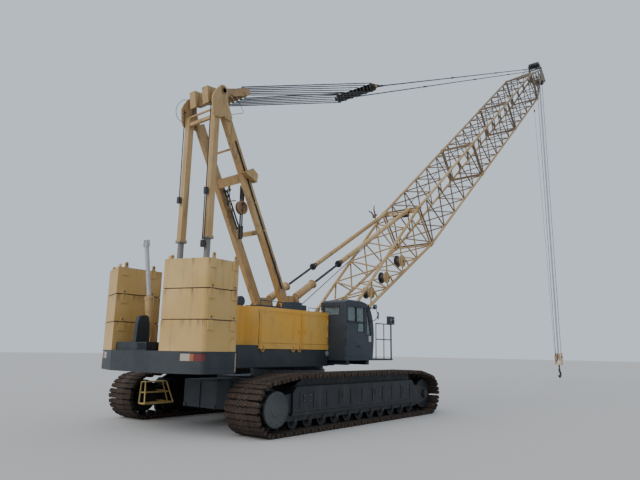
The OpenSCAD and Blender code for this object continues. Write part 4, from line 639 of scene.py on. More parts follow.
# %% The shoes
# Columns: start and end as shares of the pitch, then from and to across, then depth from and to
tread = [(0.36, 0.64, -0.15, 0.15, 0.109, 0.205)]
for number, lo in enumerate((-0.20, -0.12, -0.04, 0.04, 0.12)):
    first = 0.08 if number % 2 else 0.02
    last = first + 0.915
    tread += [(first, first + 0.40, lo, lo + 0.08, 0, 0.110), (last - 0.40, last, lo, lo + 0.08, 0, 0.110),
              (first, last, lo, lo + 0.08, 0.040, 0.109)]
for side in (-1, 1):
    lo, hi = sorted((side * 0.20, side * 0.57))
    # Two grousers with a groove between them, on one plate
    tread += [(0.07, 0.42, lo, hi, 0.007, 0.110), (0.58, 0.93, lo, hi, 0.007, 0.110),
              (0.10, 0.90, lo, hi, 0.042, 0.109)]
    lo, hi = sorted((side * 0.57, side * SHOE_HALF))
    tread += [(start, start + 0.30, lo, hi, 0.007, 0.105) for start in (0.14, 0.56)]
    # Narrow ribs on the grousers, which reach the ground
    tread += [(start, start + 0.30, side * rib - 0.011, side * rib + 0.011, 0, 0.009)
              for rib in (0.235, 0.315, 0.395, 0.475, 0.545) for start in (0.09, 0.61)]
# The carrier that joins the shoes under their gaps, in half-shoe steps so that it follows the wraps
tread += [(0.0, 0.5, -0.19, 0.19, 0.050, 0.108), (0.5, 1.0, -0.19, 0.19, 0.050, 0.108)]
tread = np.array(tread)


def shoe_chain(side):
    """All shoes of one track: each cuboid's corners in (share, across, depth), bent round the loop."""
    low, high = tread[:, [0, 2, 4]], tread[:, [1, 3, 5]]
    corners = low[:, None] + (high - low)[:, None] * (CORNERS[None] + 1) / 2
    every = np.broadcast_to(corners, (SHOES, *corners.shape))
    s = (every[..., 0] + np.arange(SHOES)[:, None, None]) * PITCH
    flat = on_track(s, every[..., 2])
    across = side * TRACK_Y + every[..., 1]
    points = np.stack([flat[..., 0] + SWING_X, across, flat[..., 1]], -1).reshape(-1, 3)
    return points, box_faces(len(points) // 8)


for name, side in (("track_right", -1), ("track_left", 1)):
    chain = put(name + "_shoes", shoe_chain(side), track_mud, "lower")
    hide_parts(name)
    print(chain.name, len(chain.data.polygons), "faces")

# %% [markdown]
# ## Wheels, hubs and bolts of the running gear
#
# The drive cover is a round casting held by a ring of bolts, with a smaller boss in its middle. The
# idler has a cap over its axle. Rollers show their round ends under the frame's plates.

# %% Drive covers and the idlers' caps
WHEEL_HALF, FRAME_HALF = 0.3445, 0.400
for tag, side in SIDES:
    face_y = side * (TRACK_Y + SHOE_HALF - 0.020)
    cover = stepped([(0.435, 0), (0.435, 0.008), (0.400, 0.014), (0.400, 0.006), (0.190, 0.006),
                     (0.180, 0.018), (0.060, 0.018)], side, 40)
    put("drive_cover_face_" + tag, repeated(cover, from_swing(-AXLE_X, face_y, WRAP_R)), cover_grey, "lower")
    places = from_swing(-AXLE_X, face_y + side * 0.006, WRAP_R) + circle(12, 0.345, "y")
    put("drive_cover_bolts_" + tag, repeated(bolt_head(0.020, 0.012, "y", side), places), cover_grey, "lower")
    cap = stepped([(0.120, 0), (0.120, 0.012), (0.105, 0.020), (0.045, 0.020), (0.040, 0.030)], side, 32)
    hub = from_swing(AXLE_X, side * (TRACK_Y + WHEEL_HALF + 0.055), WRAP_R)
    put("idler_cap_" + tag, repeated(cap, hub), track_blue, "lower")

# %% Stiffeners, covers and bolts along the crawler frames, and the rollers' ends
for tag, side in SIDES:
    y = side * (TRACK_Y + FRAME_HALF)
    xs = np.linspace(-2.95, 2.95, 11)
    put("frame_stiffeners_" + tag, cuboids(from_swing(0, y + side * 0.006, 0.86) + in_line(xs, "x"),
                                           (0.018, 0.006, 0.215)), track_blue, "lower")
    covers = from_swing(0, y + side * 0.004, 0.92) + in_line((xs[1:] + xs[:-1])[::3] / 2, "x")
    put("frame_covers_" + tag, cuboids(covers, (0.16, 0.008, 0.10)), track_blue, "lower")
    corner = np.array([[dx, side * 0.008, dz] for dx in (-0.135, 0.135) for dz in (-0.075, 0.075)])
    places = (covers[:, None] + corner[None]).reshape(-1, 3)
    put("frame_cover_bolts_" + tag, repeated(bolt_head(0.012, 0.009, "y", side), places), steel_grey, "lower")
    end = stepped([(0.075, 0), (0.075, 0.020), (0.062, 0.030), (0.025, 0.030), (0.022, 0.040)], side, 20)
    rollers = from_swing(0, side * (TRACK_Y + WHEEL_HALF), 0.3403) + in_line(np.linspace(-3.1, 3.1, 11), "x")
    put("roller_ends_" + tag, repeated(end, rollers), black_iron, "lower")

# %% Bolts round the slew ring
ring = from_swing(0, 0, 1.560) + circle(48, 1.265, "z")
put("slew_ring_bolts", repeated(bolt_head(0.022, 0.020, "z"), ring), steel_grey, "lower")

# %% [markdown]
# ## The stacks
#
# Each slab is a painted casting. A pin with a flat keeper goes through every link plate.

# %% Pins in the link plates
# Columns: x, y on the left side, and 1 where the pin's head faces outward or -1 where inward
LINK_PINS = ((-5.560, 2.396, 1), (-4.800, 2.396, 1), (-5.920, 1.092, -1), (-5.000, 1.092, -1))
LINK_HEIGHTS = (2.917, 3.717, 4.517)
pins, keepers = [], []
for side in (-1, 1):
    for z in LINK_HEIGHTS:
        for x, y, out in LINK_PINS:
            pin = stepped([(0.020, 0), (0.020, 0.022), (0.016, 0.028)], side * out, 12)
            pins.append(repeated(pin, from_swing(x, side * (y - out * 0.012), z + 0.095)))
            keepers.append(from_swing(x, side * (y + out * 0.004), z + 0.055))
put("link_plate_pins", merged(pins), black_iron, "upper")
put("link_plate_keepers", cuboids(keepers, (0.012, 0.004, 0.030)), steel_grey, "upper")

# %% Weld along the tray and the bright strips at its front
weld = from_swing(0, -2.372, 1.735) + in_line(np.linspace(-5.55, -4.66, 40), "x")
weld += in_line(0.0015 * np.sin(np.arange(40) * 2.4), "y")
put("tray_weld", tube(weld, 0.007, 6), frame_blue, "upper")
strips = [from_swing(-4.662, side * 2.3745, 1.86) for side in (-1, 1)]
put("tray_strips", cuboids(strips, (0.020, 0.0025, 0.24)), sheave_tan, "upper")

# %% [markdown]
# ## The machinery house
#
# The house is sheet metal on a frame. The doors hang in folded frames, hook latches hold them shut
# at the lip along the deck, and rivets show where sheets lap.

# %% Lip, folds and latches
LATCHES = (-2.96, -1.62, -1.33)
t = np.linspace(0, math.pi * 1.35, 14)
hook_path = np.stack([0.055 * np.cos(t) - 0.055, 0 * t, -0.055 * np.sin(t)], -1)
hook_path = np.concatenate([[[0, 0, 0.14]], hook_path])
for tag, side in SIDES:
    lip = cuboids([from_swing(-1.52, side * 1.692, 2.283)], (1.64, 0.012, 0.048))
    folds = cuboids(at_y(side * 1.706, ((-3.140, 2.87), (-1.244, 2.87))),
                    [[0.026, 0.006, 0.49], [0.022, 0.006, 0.49]])
    put("house_lip_" + tag, merged([lip, folds]), house_yellow, "upper")
    seams = cuboids(at_y(side * 1.703, ((-3.168, 2.87), (0.092, 2.87))), (0.006, 0.004, 0.50))
    put("house_seams_" + tag, seams, black_iron, "upper")
    latches = [tube(from_swing(x, side * 1.722, 2.21) + hook_path, 0.013, 8) for x in LATCHES]
    latches.append(cuboids(at_y(side * 1.712, [(x, 2.33) for x in LATCHES]), (0.030, 0.012, 0.024)))
    put("house_latches_" + tag, merged(latches), house_yellow, "upper")

# %% Rivets along the edges of the sheets
RIVET_GAP = 0.12
level = in_line(np.arange(-3.05, 0.08, RIVET_GAP), "x")
upright = in_line(np.arange(2.45, 3.36, RIVET_GAP), "z")
for tag, side in SIDES:
    rows = [from_swing(0, side * 1.700, z) + level for z in (2.362, 3.377)]
    rows += [from_swing(x, side * 1.420, 0) + upright for x in (-4.11, -3.56)]
    rivet = turned([(0, 0), (0.011, 0), (0.008, side * 0.005), (0, side * 0.0065)], 8)
    put("house_rivets_" + tag, repeated(rivet, np.concatenate(rows)), house_yellow, "upper")

# %% Door frames, handles and a louvre
# Each door's side, the x of its rear and front edges and the x of its handle
LEAVES = {"right_front": (-1, -1.214, 0.057, -1.10), "right_rear": (-1, -3.099, -1.274, -1.40),
          "left_front": (1, -1.214, 0.057, -1.10), "left_rear": (1, -3.099, -1.274, -1.40)}
for tag, (side, x0, x1, grip) in LEAVES.items():
    mid, half = (x0 + x1) / 2, (x1 - x0) / 2 - 0.035
    middles = at_y(side * 1.702, ((mid, 2.430), (mid, 3.310), (mid - half, 2.870), (mid + half, 2.870)))
    rails = cuboids(middles, [[half, 0.004, 0.012]] * 2 + [[0.012, 0.004, 0.44]] * 2)
    put("door_fold_" + tag, rails, house_yellow, "house_leaf_" + tag)
    plate = cuboids([from_swing(grip, side * 1.703, 2.80)], (0.040, 0.005, 0.075))
    lever = tube([from_swing(grip, side * y, z) for y, z in ((1.706, 2.83), (1.728, 2.83), (1.730, 2.76),
                                                             (1.724, 2.73))], 0.008, 8)
    put("door_handle_" + tag, merged([plate, lever]), house_yellow, "house_leaf_" + tag)
SLATS, SLAT_GAP, SLAT_LEAN = 9, 0.055, 0.6
rear_edge, front_edge = LEAVES["left_rear"][1:3]
top_slat = from_swing((rear_edge + front_edge) / 2 - 0.40, 1.706, 3.10)
slats = top_slat + in_line(-SLAT_GAP * np.arange(SLATS), "z")
c, s = math.cos(SLAT_LEAN), math.sin(SLAT_LEAN)
lean = np.array([[1, 0, 0], [0, c, -s], [0, s, c]])
put("door_louvre_left_rear", cuboids(slats, (0.32, 0.003, 0.018), lean), house_yellow,
    "house_leaf_left_rear")

# %% Grille in the house's rear wall and the round fitting at its front
GRILLE_X = -4.156
bars = cuboids([from_swing(GRILLE_X, y, 2.90) for y in np.linspace(-1.25, -0.15, 23)], (0.004, 0.010, 0.38))
middles = ((-0.70, 2.50), (-0.70, 3.30), (-1.29, 2.90), (-0.11, 2.90))
edges = cuboids([from_swing(GRILLE_X, y, z) for y, z in middles],
                [[0.006, 0.60, 0.018]] * 2 + [[0.006, 0.018, 0.41]] * 2)
put("radiator_grille", merged([bars, edges]), cab_grey, "upper")
knob = stepped([(0.095, 0), (0.095, 0.020), (0.070, 0.030), (0.030, 0.030), (0.025, 0.045)], -1, 28)
put("deck_side_fitting", repeated(knob, from_swing(0.08, -1.681, 2.11)), steel_grey, "upper")

# %% Exhaust and lifting eyes on the roof
ROOF_Z = 3.467
bend = ((-2.60, 3.466), (-2.60, 3.80), (-2.62, 3.90), (-2.70, 3.97), (-2.80, 3.99))
pipe = tube(at_y(0.55, bend), 0.075, 16)
collar = stepped([(0.13, 0), (0.13, 0.02), (0.085, 0.03)], 1, 24, "z")
put("exhaust", merged([pipe, repeated(collar, from_swing(-2.60, 0.55, ROOF_Z))]), steel_grey, "upper")
t = np.linspace(0, math.pi, 12)
eye = np.stack([0.05 * np.cos(t), 0 * t, 0.07 * np.sin(t)], -1)
eyes = [tube(from_swing(x, y, ROOF_Z) + eye, 0.011, 8)
        for x, y in ((-3.0, -0.97), (-3.0, 1.58), (-0.1, -1.58), (-0.1, 1.58))]
put("roof_eyes", merged(eyes), house_yellow, "upper")

# %% [markdown]
# ## The cab
#
# Rubber holds each pane in its opening. Behind the glass are the seat, two lever stands and a switch
# panel. A wiper parks at the side of the windscreen.

# %% Rubber round the panes
CAB_Y, CAB_REAR, CAB_FRONT, CAB_Z = -2.403, 0.134, 1.753, 1.956
RUBBER_PROUD = 0.008


def gasket(corners, normal, width=0.022):
    """A flat rubber strip along a closed line of corners: one long cuboid for each side."""
    corners = np.asarray(corners, float)
    after = np.roll(corners, -1, axis=0)
    way = after - corners
    length = np.linalg.norm(way, axis=1)
    way /= length[:, None]
    normal = np.broadcast_to(np.asarray(normal, float), way.shape)
    turns = np.stack([way, np.cross(normal, way), normal], -1)
    halves = np.stack([length / 2 + width / 2, np.full(len(way), width / 2),
                       np.full(len(way), RUBBER_PROUD / 2)], -1)
    return cuboids((corners + after) / 2, halves, turns)


def rectangle(low, high):
    """The four corners of a rectangle, in order, from its lowest and its highest one."""
    return (low, (high[0], low[1]), high, (low[0], high[1]))


screen_foot = from_swing(CAB_FRONT, 0, CAB_Z + 0.880)
rake = np.array([-0.250, 0, 0.888]) / math.hypot(0.250, 0.888)
outward = np.array([rake[2], 0, -rake[0]])
side_pane = ((1.384, 2.746), (1.643, 2.746), (1.643, 2.856), (1.453, 3.624), (1.384, 3.624))
rear = rectangle((-2.153, 3.394), (-1.473, 3.694))
low = rectangle((-2.283, 2.216), (-1.473, 2.756))
screen = [(s, y) for y, s in rectangle((-2.283, 0.06), (-1.473, 0.862))]
panes = [gasket(at_y(CAB_Y, side_pane), (0, -1, 0)),
         gasket([from_swing(CAB_REAR, y, z) for y, z in rear], (-1, 0, 0)),
         gasket([from_swing(CAB_FRONT, y, z) for y, z in low], (1, 0, 0)),
         gasket(at_y(-1.353, rectangle((0.334, 2.806), (1.234, 3.694))), (0, 1, 0)),
         gasket([screen_foot + rake * s + np.array([0, y, 0]) for s, y in screen], outward)]
put("cab_rubber", merged(panes), rubber, "upper")
door_panes = (((0.259, 3.196), (0.739, 3.694)), ((0.789, 3.196), (1.244, 3.694)),
              ((0.869, 2.856), (1.244, 3.156)))
door_lines = [gasket(at_y(CAB_Y, rectangle(low, high)), (0, -1, 0), 0.020) for low, high in door_panes]
put("cab_door_rubber", merged(door_lines), rubber, "cab_door_leaf")

# %% Wiper, rain gutter and roof hatch
wiper_at = screen_foot + rake * 0.10 + outward * 0.012 + np.array([0, -1.60, 0])
arm = tube([wiper_at, wiper_at + rake * 0.30, wiper_at + rake * 0.58], [0.009, 0.007, 0.005], 6)
blade = tube([wiper_at + rake * s + np.array([0, -0.03, 0]) for s in (0.30, 0.76)], 0.006, 6)
put("cab_wiper", merged([arm, blade]), rubber, "upper")
gutter = tube(at_y(CAB_Y - 0.006, ((0.16, 3.80), (0.30, 3.862), (1.05, 3.862), (1.33, 3.83))), 0.010, 8)
hatch = cuboids([from_swing(0.62, -1.88, 3.920)], (0.27, 0.30, 0.008))
put("cab_gutter_and_hatch", merged([gutter, hatch]), cab_grey, "upper")

# %% Seat cushions
SEAT_Y = -1.878


def cushion(middle, half, crown, square=0.45, rows=18, turns=36, lean=0.0):
    """A stuffed form: |x/a|^(2/e) + |y/b|^(2/e) + |z/c|^(2/e) = 1 with a small e, crowned on top, from
    angles u and v with every cosine and sine raised to e. Both poles are single points."""
    def power(wave):
        return np.sign(wave) * np.abs(wave) ** square
    u = np.linspace(-math.pi / 2, math.pi / 2, rows)[1:-1, None]
    v = np.linspace(-math.pi, math.pi, turns, endpoint=False)[None]
    flat = power(np.cos(u))
    x, y = half[0] * flat * power(np.cos(v)), half[1] * flat * power(np.sin(v))
    z = half[2] * power(np.sin(u)) + 0 * v
    z = z * (1 + crown * np.exp(-((x / half[0]) ** 2 + (y / half[1]) ** 2) * 1.6))
    points = np.concatenate([np.stack([x, y, z], -1).reshape(-1, 3),
                             [[0, 0, -half[2] * (1 + crown)], [0, 0, half[2] * (1 + crown)]]])
    return points @ pitch_turn(lean) + np.asarray(middle), pointed(rows - 2, turns)


def seat_cloth(name):
    """Woven seat cloth: two crossed fine waves as bump, and worn, paler patches on the crown."""
    material, tree, shader, place = new_material(name)
    worn = step(tree, noise(tree, place, 5.0), 0.45, 0.7, 0.6)
    colour = tinted(tree, (0.020, 0.021, 0.024), (0.055, 0.055, 0.058), worn)
    tree.links.new(colour, shader.inputs["Base Color"])
    shader.inputs["Roughness"].default_value = 0.92
    shader.inputs["Sheen Weight"].default_value = 0.3
    waves = []
    for axis in ("X", "Y"):
        wave = tree.nodes.new("ShaderNodeTexWave")
        wave.bands_direction = axis
        wave.inputs["Scale"].default_value = 60.0
        tree.links.new(place, wave.inputs["Vector"])
        waves.append(wave.outputs["Fac"])
    relief(tree, shader, calculated(tree, "MULTIPLY", *waves), 0.4, 0.003)
    return material


cloth = seat_cloth("seat_cloth")
bottom = put("seat_cushion", cushion(from_swing(0.784, SEAT_Y, 2.438), (0.240, 0.235, 0.055), 0.12), cloth,
             "upper", True)
back = put("seat_back", cushion(from_swing(0.494, SEAT_Y, 2.800), (0.300, 0.228, 0.050), 0.12,
                                lean=math.radians(90)), cloth, "upper", True)
base = put("seat_base", cuboids(at_y(SEAT_Y, ((0.784, 2.20), (0.784, 2.392), (0.455, 2.70))),
                                [[0.150, 0.150, 0.185], [0.230, 0.225, 0.010], [0.012, 0.15, 0.30]]),
           rubber, "upper")
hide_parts("cab_seat")

# %% Lever stands and switch panel
LEVER_YS = (-2.20, -1.56)
stands = cuboids([from_swing(0.95, y, 2.26) for y in LEVER_YS] + [from_swing(1.44, -1.62, 2.45)],
                 [[0.22, 0.075, 0.25], [0.22, 0.075, 0.25], [0.08, 0.16, 0.44]])
lever_feet = [(x, y) for y in LEVER_YS for x in (0.92, 1.06)]
levers = [tube([from_swing(x, y, 2.50), from_swing(x + 0.02, y, 2.74)], 0.009, 8) for x, y in lever_feet]
knob = turned([(0, 0), (0.016, 0), (0.024, 0.018), (0.024, 0.034), (0.014, 0.048), (0, 0.052)], 14, "z")
knobs = repeated(knob, [from_swing(x + 0.02, y, 2.735) for x, y in lever_feet])
put("lever_stands", merged([stands] + levers), cab_grey, "upper")
put("lever_knobs", knobs, rubber, "upper", True)

# %% Lenses of the work lamps
lens_shape = turned([(0, 0), (0.066, 0), (0.060, -0.008), (0.030, -0.014), (0, -0.016)], 24)
corner_shape = turned([(0, 0), (0.076, 0), (0.066, -0.010), (0.030, -0.016), (0, -0.018)], 24)
lamp_glass = pane("lamp_glass", (0.85, 0.86, 0.84))
put("work_lamp_lenses", repeated(lens_shape, [from_swing(3.043 + x, -2.448, 3.356) for x in (-0.11, 0.08)]),
    lamp_glass, "upper", True)
put("corner_lamp_lens", repeated(corner_shape, from_swing(1.828, -2.508, 3.769)), lamp_glass, "upper", True)

# %% [markdown]
# ## The gantry
#
# Its legs are welded boxes with pins at the joints. Every pin has a collar, the lower ones have a
# bolted keeper plate, and small hydraulic lines run down the legs. A sheave is a disc with two
# flanges and a thinner web, so each flank gets a raised rim and a hub.

# %% Flanks of the sheaves
def flanks(place, ys, radius, hub, half, proud=0.010):
    """Both flanks of sheaves that stand side by side on one axle, where place(y) is the middle at y.
    The rim and the hub stand proud, and the web between them is set back."""
    rings = [(radius, 0), (radius, proud * 0.6), (radius * 0.97, proud), (radius * 0.86, proud),
             (radius * 0.82, proud * 0.2), (hub * 1.25, proud * 0.2), (hub * 1.15, proud), (hub, proud)]
    return merged([repeated(stepped(rings, s, 40), place(y + s * half)) for y in ys for s in (-1, 1)])


HEAD_SHEAVES, BAIL_AT = (-0.320, -0.200, 0.300, 0.420), 1.150
BAIL_SHEAVES, BRIDLE_SHEAVES = (0.100, 0.300, 0.500), (0.190, 0.560, 0.890)
put("gantry_sheave_flanks", flanks(lambda y: from_swing(HEAD_X, y, HEAD_Z), HEAD_SHEAVES,
                                   0.222, 0.105, 0.040), sheave_tan, "upper")
for tag, at, ys, finish, body in (("bail", BAIL_AT, BAIL_SHEAVES, sheave_tan, "stay_reeve"),
                                  ("bridle", REEVE, BRIDLE_SHEAVES, black_iron, "stay_bridle")):
    ys = [side * y for side in (-1, 1) for y in ys]
    put(tag + "_sheave_flanks", flanks(lambda y: on_reeve(at, y, 0.0), ys, 0.168, 0.070, 0.028, 0.008),
        finish, body)

# %% Collars and keepers on the gantry's pins
LEG_FOOT, STOP_FOOT = (-0.995, 3.776), (-0.560, 3.926)
PIN_ENDS = ((HEAD_X, HEAD_Z, 0.802, 0.085), (*LEG_FOOT, 0.805, 0.055), (*STOP_FOOT, 0.805, 0.055))
ends = []
for side in (-1, 1):
    for x, z, y, r in PIN_ENDS:
        # A washer, the pin's own end and its edge taken off
        end = [(r * 1.35, 0), (r * 1.35, 0.008), (r, 0.008), (r, 0.020), (r * 0.85, 0.028)]
        ends.append(repeated(stepped(end, side), from_swing(x, side * y, z)))
put("gantry_pin_ends", merged(ends), rusty_tan, "upper")
under_pins = [(x, z - 0.105) for x, z in (LEG_FOOT, STOP_FOOT)]
keepers = [at_y(side * 0.783, under_pins) for side in (-1, 1)]
put("gantry_keepers", cuboids(np.concatenate(keepers), (0.085, 0.005, 0.022)), steel_grey, "upper")
for tag, side in SIDES:
    bolts = at_y(side * 0.786, [(x + dx, z) for x, z in under_pins for dx in (-0.06, 0.06)])
    put("gantry_keeper_bolts_" + tag, repeated(bolt_head(0.013, 0.010, "y", side), bolts), black_iron,
        "upper")

# %% Cables that hang in loops from the gantry's head
def smooth_path(corners, count=40):
    """A smooth line through a few corners: Catmull-Rom, so each span is a cubic of its four corners."""
    p = np.asarray(corners, float)
    p = np.concatenate([2 * p[:1] - p[1:2], p, 2 * p[-1:] - p[-2:-1]])
    s = np.linspace(0, len(p) - 3 - 1e-9, count)
    i, t = s.astype(int), (s % 1.0)[:, None]
    a, b, c, d = p[i], p[i + 1], p[i + 2], p[i + 3]
    square, cube = 2 * a - 5 * b + 4 * c - d, 3 * b - a - 3 * c + d
    return 0.5 * (2 * b + (c - a) * t + square * t ** 2 + cube * t ** 3)


def hung_cable(name, corners, radius, body):
    """A cable that hangs free between two fixings."""
    path = smooth_path(corners)
    piece = put(name, tube(path, radius, 8), rubber, body, True)


CABLES = {
    "head_cable_left": ((-4.440, 0.745, 10.250), (-4.600, 0.760, 10.200), (-4.790, 0.765, 9.960),
                        (-4.840, 0.765, 9.700), (-4.740, 0.765, 9.500), (-4.570, 0.755, 9.430),
                        (-4.440, 0.745, 9.400)),
    "head_cable_top": ((-4.330, -0.110, 10.300), (-4.330, -0.100, 10.400), (-4.250, -0.090, 10.480),
                       (-4.160, -0.080, 10.460), (-4.110, -0.090, 10.330), (-4.180, -0.100, 10.290)),
    "head_cable_right": ((-4.020, -0.745, 9.600), (-3.840, -0.760, 9.560), (-3.560, -0.760, 9.680),
                         (-3.310, -0.740, 9.820), (-3.420, -0.700, 10.060), (-3.600, -0.640, 10.260),
                         (-3.740, -0.600, 10.330)),
}
for name, corners in CABLES.items():
    hung_cable(name, [from_swing(*corner) for corner in corners], 0.009, "upper")

# %% Lines and clips down the gantry's legs
LEG_TOP = (-3.998, 9.520)
leg_way = np.subtract(LEG_TOP, LEG_FOOT)
leg_way /= np.linalg.norm(leg_way)


def on_leg(t, y, out=0.0):
    """A place on a gantry leg: t up it from its foot pin, out at right angles to it towards the rear."""
    x, z = LEG_FOOT + leg_way * t + np.array([-leg_way[1], leg_way[0]]) * out
    return from_swing(x, y, z)


for tag, side in SIDES:
    lines = [tube([on_leg(t, side * 0.755, out) for t in np.linspace(0.5, 5.6, 18)], 0.011, 6)
             for out in (-0.02, 0.02)]
    clips = cuboids([on_leg(t, side * 0.755) for t in np.linspace(0.8, 5.3, 7)], (0.020, 0.012, 0.045))
    put("leg_lines_" + tag, merged(lines + [clips]), rubber, "upper")

# %% [markdown]
# ## The boom
#
# Its sections are joined by a pin at each of the four chords. The hoist rope goes from the drum over
# the first guide roller and along inside the boom to the upper sheaves at the tip.

# %% Pins and lugs between the sections, and gussets where the lacing meets the chords there
JOINTS, CHORD = (9.173, 17.719, 25.704, 32.894), 0.987
lugs, pins, gussets = [], [], []
angle = pitch_turn(BOOM_ANGLE)
for u in JOINTS:
    for sy in (-1, 1):
        for sv in (-1, 1):
            at = on_boom(u, sy * CHORD, sv * CHORD)
            lugs.append(at)
            for s in (-1, 1):
                pin = stepped([(0.036, 0), (0.036, 0.060), (0.028, 0.068)], s, 14)
                pins.append(repeated(pin, at + np.array([0, s * 0.028, 0])))
    for way in (-0.21, 0.21):
        for sy in (-1, 1):
            for sv in (-1, 1):
                gussets.append(on_boom(u + way, sy * CHORD, sv * 0.90))
                gussets.append(on_boom(u + way, sy * 0.90, sv * CHORD))
put("boom_joint_lugs", cuboids(lugs, (0.135, 0.030, 0.092), angle), boom_tan, "boom")
put("boom_joint_pins", merged(pins), black_iron, "boom")
flat = [(0.075, 0.008, 0.05), (0.075, 0.05, 0.008)] * (len(gussets) // 2)
put("boom_gussets", cuboids(gussets, flat, angle), boom_tan, "boom")

# %% The hoist rope from the drum to the tip
DRUM_X, DRUM_Z, DRUM_R, LEAD_ANGLE = -0.350, 2.760, 0.345, 0.72
ROLLER_U, ROLLER_V, ROLLER_R = 9.073, 0.757, 0.105
TIP_U, TIP_V, TIP_R = 38.050, 0.640, 0.238
out_of_drum = from_swing(DRUM_X - DRUM_R * math.sin(LEAD_ANGLE), 0.0,
                         DRUM_Z + DRUM_R * math.cos(LEAD_ANGLE))
roller = on_boom(ROLLER_U, 0.0, ROLLER_V + ROLLER_R)
tip_in = on_boom(TIP_U - 0.02, 0.070, TIP_V + TIP_R)
first = put("hoist_rope_lead", tube(np.linspace(out_of_drum, roller, 24), 0.016, 8), rope_dark, None)
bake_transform(first)
put("hoist_rope_run", tube(np.linspace(roller, tip_in, 12), 0.016, 8), rope_dark, "boom")
print("hoist rope", round(float(np.linalg.norm(tip_in - out_of_drum)), 2), "m")

# %% Turns of rope on the drum
COIL_R, ROUNDS = 0.341, 22
u = np.linspace(0, 2 * math.pi * ROUNDS, ROUNDS * 20)
coil = np.stack([DRUM_X + COIL_R * np.cos(u), -0.40 + 0.80 * u / u[-1], DRUM_Z + COIL_R * np.sin(u)], -1)
put("drum_rope", tube(from_swing(0, 0, 0) + coil, 0.013, 6), rope_dark, "upper", True)

# %% The falls over the tip's sheaves
NOSE_U, NOSE_V = 38.414, -0.930
tip_flanks = flanks(lambda y: on_boom(TIP_U, y, TIP_V), (-0.350, -0.210, -0.070, 0.070, 0.210, 0.350),
                    0.242, 0.080, 0.038)
nose_flanks = flanks(lambda y: on_boom(NOSE_U, y, NOSE_V), (-0.240, -0.120, 0, 0.120, 0.240),
                     0.280, 0.100, 0.040)
put("tip_sheave_flanks", merged([tip_flanks, nose_flanks]), black_iron, "boom")
over = []
for y, last in ((-0.240, -38), (-0.120, 4), (0.0, -38), (0.120, 4), (0.240, -38)):
    bend = [on_boom(TIP_U + TIP_R * math.cos(a), y, TIP_V + TIP_R * math.sin(a))
            for a in np.linspace(math.radians(95), math.radians(5), 8)]
    bend += [on_boom(NOSE_U + 0.302 * math.cos(a), y, NOSE_V + 0.302 * math.sin(a))
             for a in np.linspace(math.radians(8), math.radians(last), 5)]
    over.append(tube(bend, 0.012, 6))
put("tip_ropes", merged(over), rope_dark, "boom")

# %% The line with a weight beside the falls
FALLS_X = 31.890
top_end, low_end = from_swing(FALLS_X, 0.620, 25.560), from_swing(FALLS_X, 0.275, 2.340)
middle = top_end + (low_end - top_end) * (25.56 - 23.14) / (25.56 - 2.34)
bob = turned([(0, 0.11), (0.040, 0.09), (0.062, 0.0), (0.040, -0.09), (0, -0.11)], 16, "z")
put("limit_line", merged([tube([top_end, middle, low_end], 0.010, 6), repeated(bob, middle)]), rope_dark,
    "hoist_line")

# %% [markdown]
# ## The hook block
#
# Two cheek plates hold the sheaves. Bolts join the plates, each sheave shows its rim between them,
# a cap covers each end of the axle and the hook has a spring latch across its mouth.

# %% Bolts, caps and sheave rims of the block
BLOCK = from_swing(FALLS_X, 0.0, 2.000)
CHEEK_Y = 0.240
caps, heads = [], []
for s in (-1, 1):
    cap = stepped([(0.088, 0), (0.088, 0.012), (0.050, 0.022)], s, 24)
    caps.append(repeated(cap, BLOCK + np.array([0, s * CHEEK_Y, 0])))
    spots = [BLOCK + np.array([dx, s * CHEEK_Y, dz]) for dx in (-0.11, 0.11) for dz in (-0.56, 0.26)]
    heads.append(repeated(bolt_head(0.026, 0.018, "y", s), spots))
put("block_caps_and_bolts", merged(caps + heads), black_iron, "block")
put("block_sheave_flanks", flanks(lambda y: BLOCK + np.array([0, y, 0]), (-0.120, 0.120), 0.280, 0.100, 0.040,
                                  0.008), sheave_tan, "block")
strips = [BLOCK + np.array([0, s * 0.2425, -0.30]) for s in (-1, 1)]
put("block_name_plates", cuboids(strips, (0.19, 0.0025, 0.17)), hook_pale, "block")

# %% The hook's latch
latch = tube([BLOCK + np.array([x, 0.0, z]) for x, z in ((0.075, -1.10), (0.115, -1.22), (0.135, -1.33))],
             [0.020, 0.017, 0.012], 8)
collar = stepped([(0.085, 0.02), (0.090, 0.0), (0.085, -0.02)], 1, 24, "z")
collar = repeated(collar, BLOCK + np.array([0, 0, -0.93]))
put("hook_latch", merged([latch, collar]), black_iron, "hook_swivel")

# %% [markdown]
# ## Backstops and weight cylinder
#
# The backstops are springs in barrels. A cap with a ring of bolts closes each barrel, and a rubber
# ring ends the tube. The cylinder that lifts the weights has a gland, clamps and a hose.

# %% Shapes on slanting cylinders
def slanted(shape, foot, head, t, y):
    """A shape made along X about the origin, put at t along the line from foot to head, which are
    pairs of x and z, and turned to lie on it."""
    points, faces = shape
    way = np.subtract(head, foot)
    way /= np.linalg.norm(way)
    x, z = foot + way * t
    return points @ pitch_turn(math.atan2(way[1], way[0])).T + from_swing(x, y, z), faces


def band(radius, half, sides=32):
    """A plain ring along X, closed at both ends."""
    return stepped([(radius, -half), (radius, half)], 1, sides, "x")


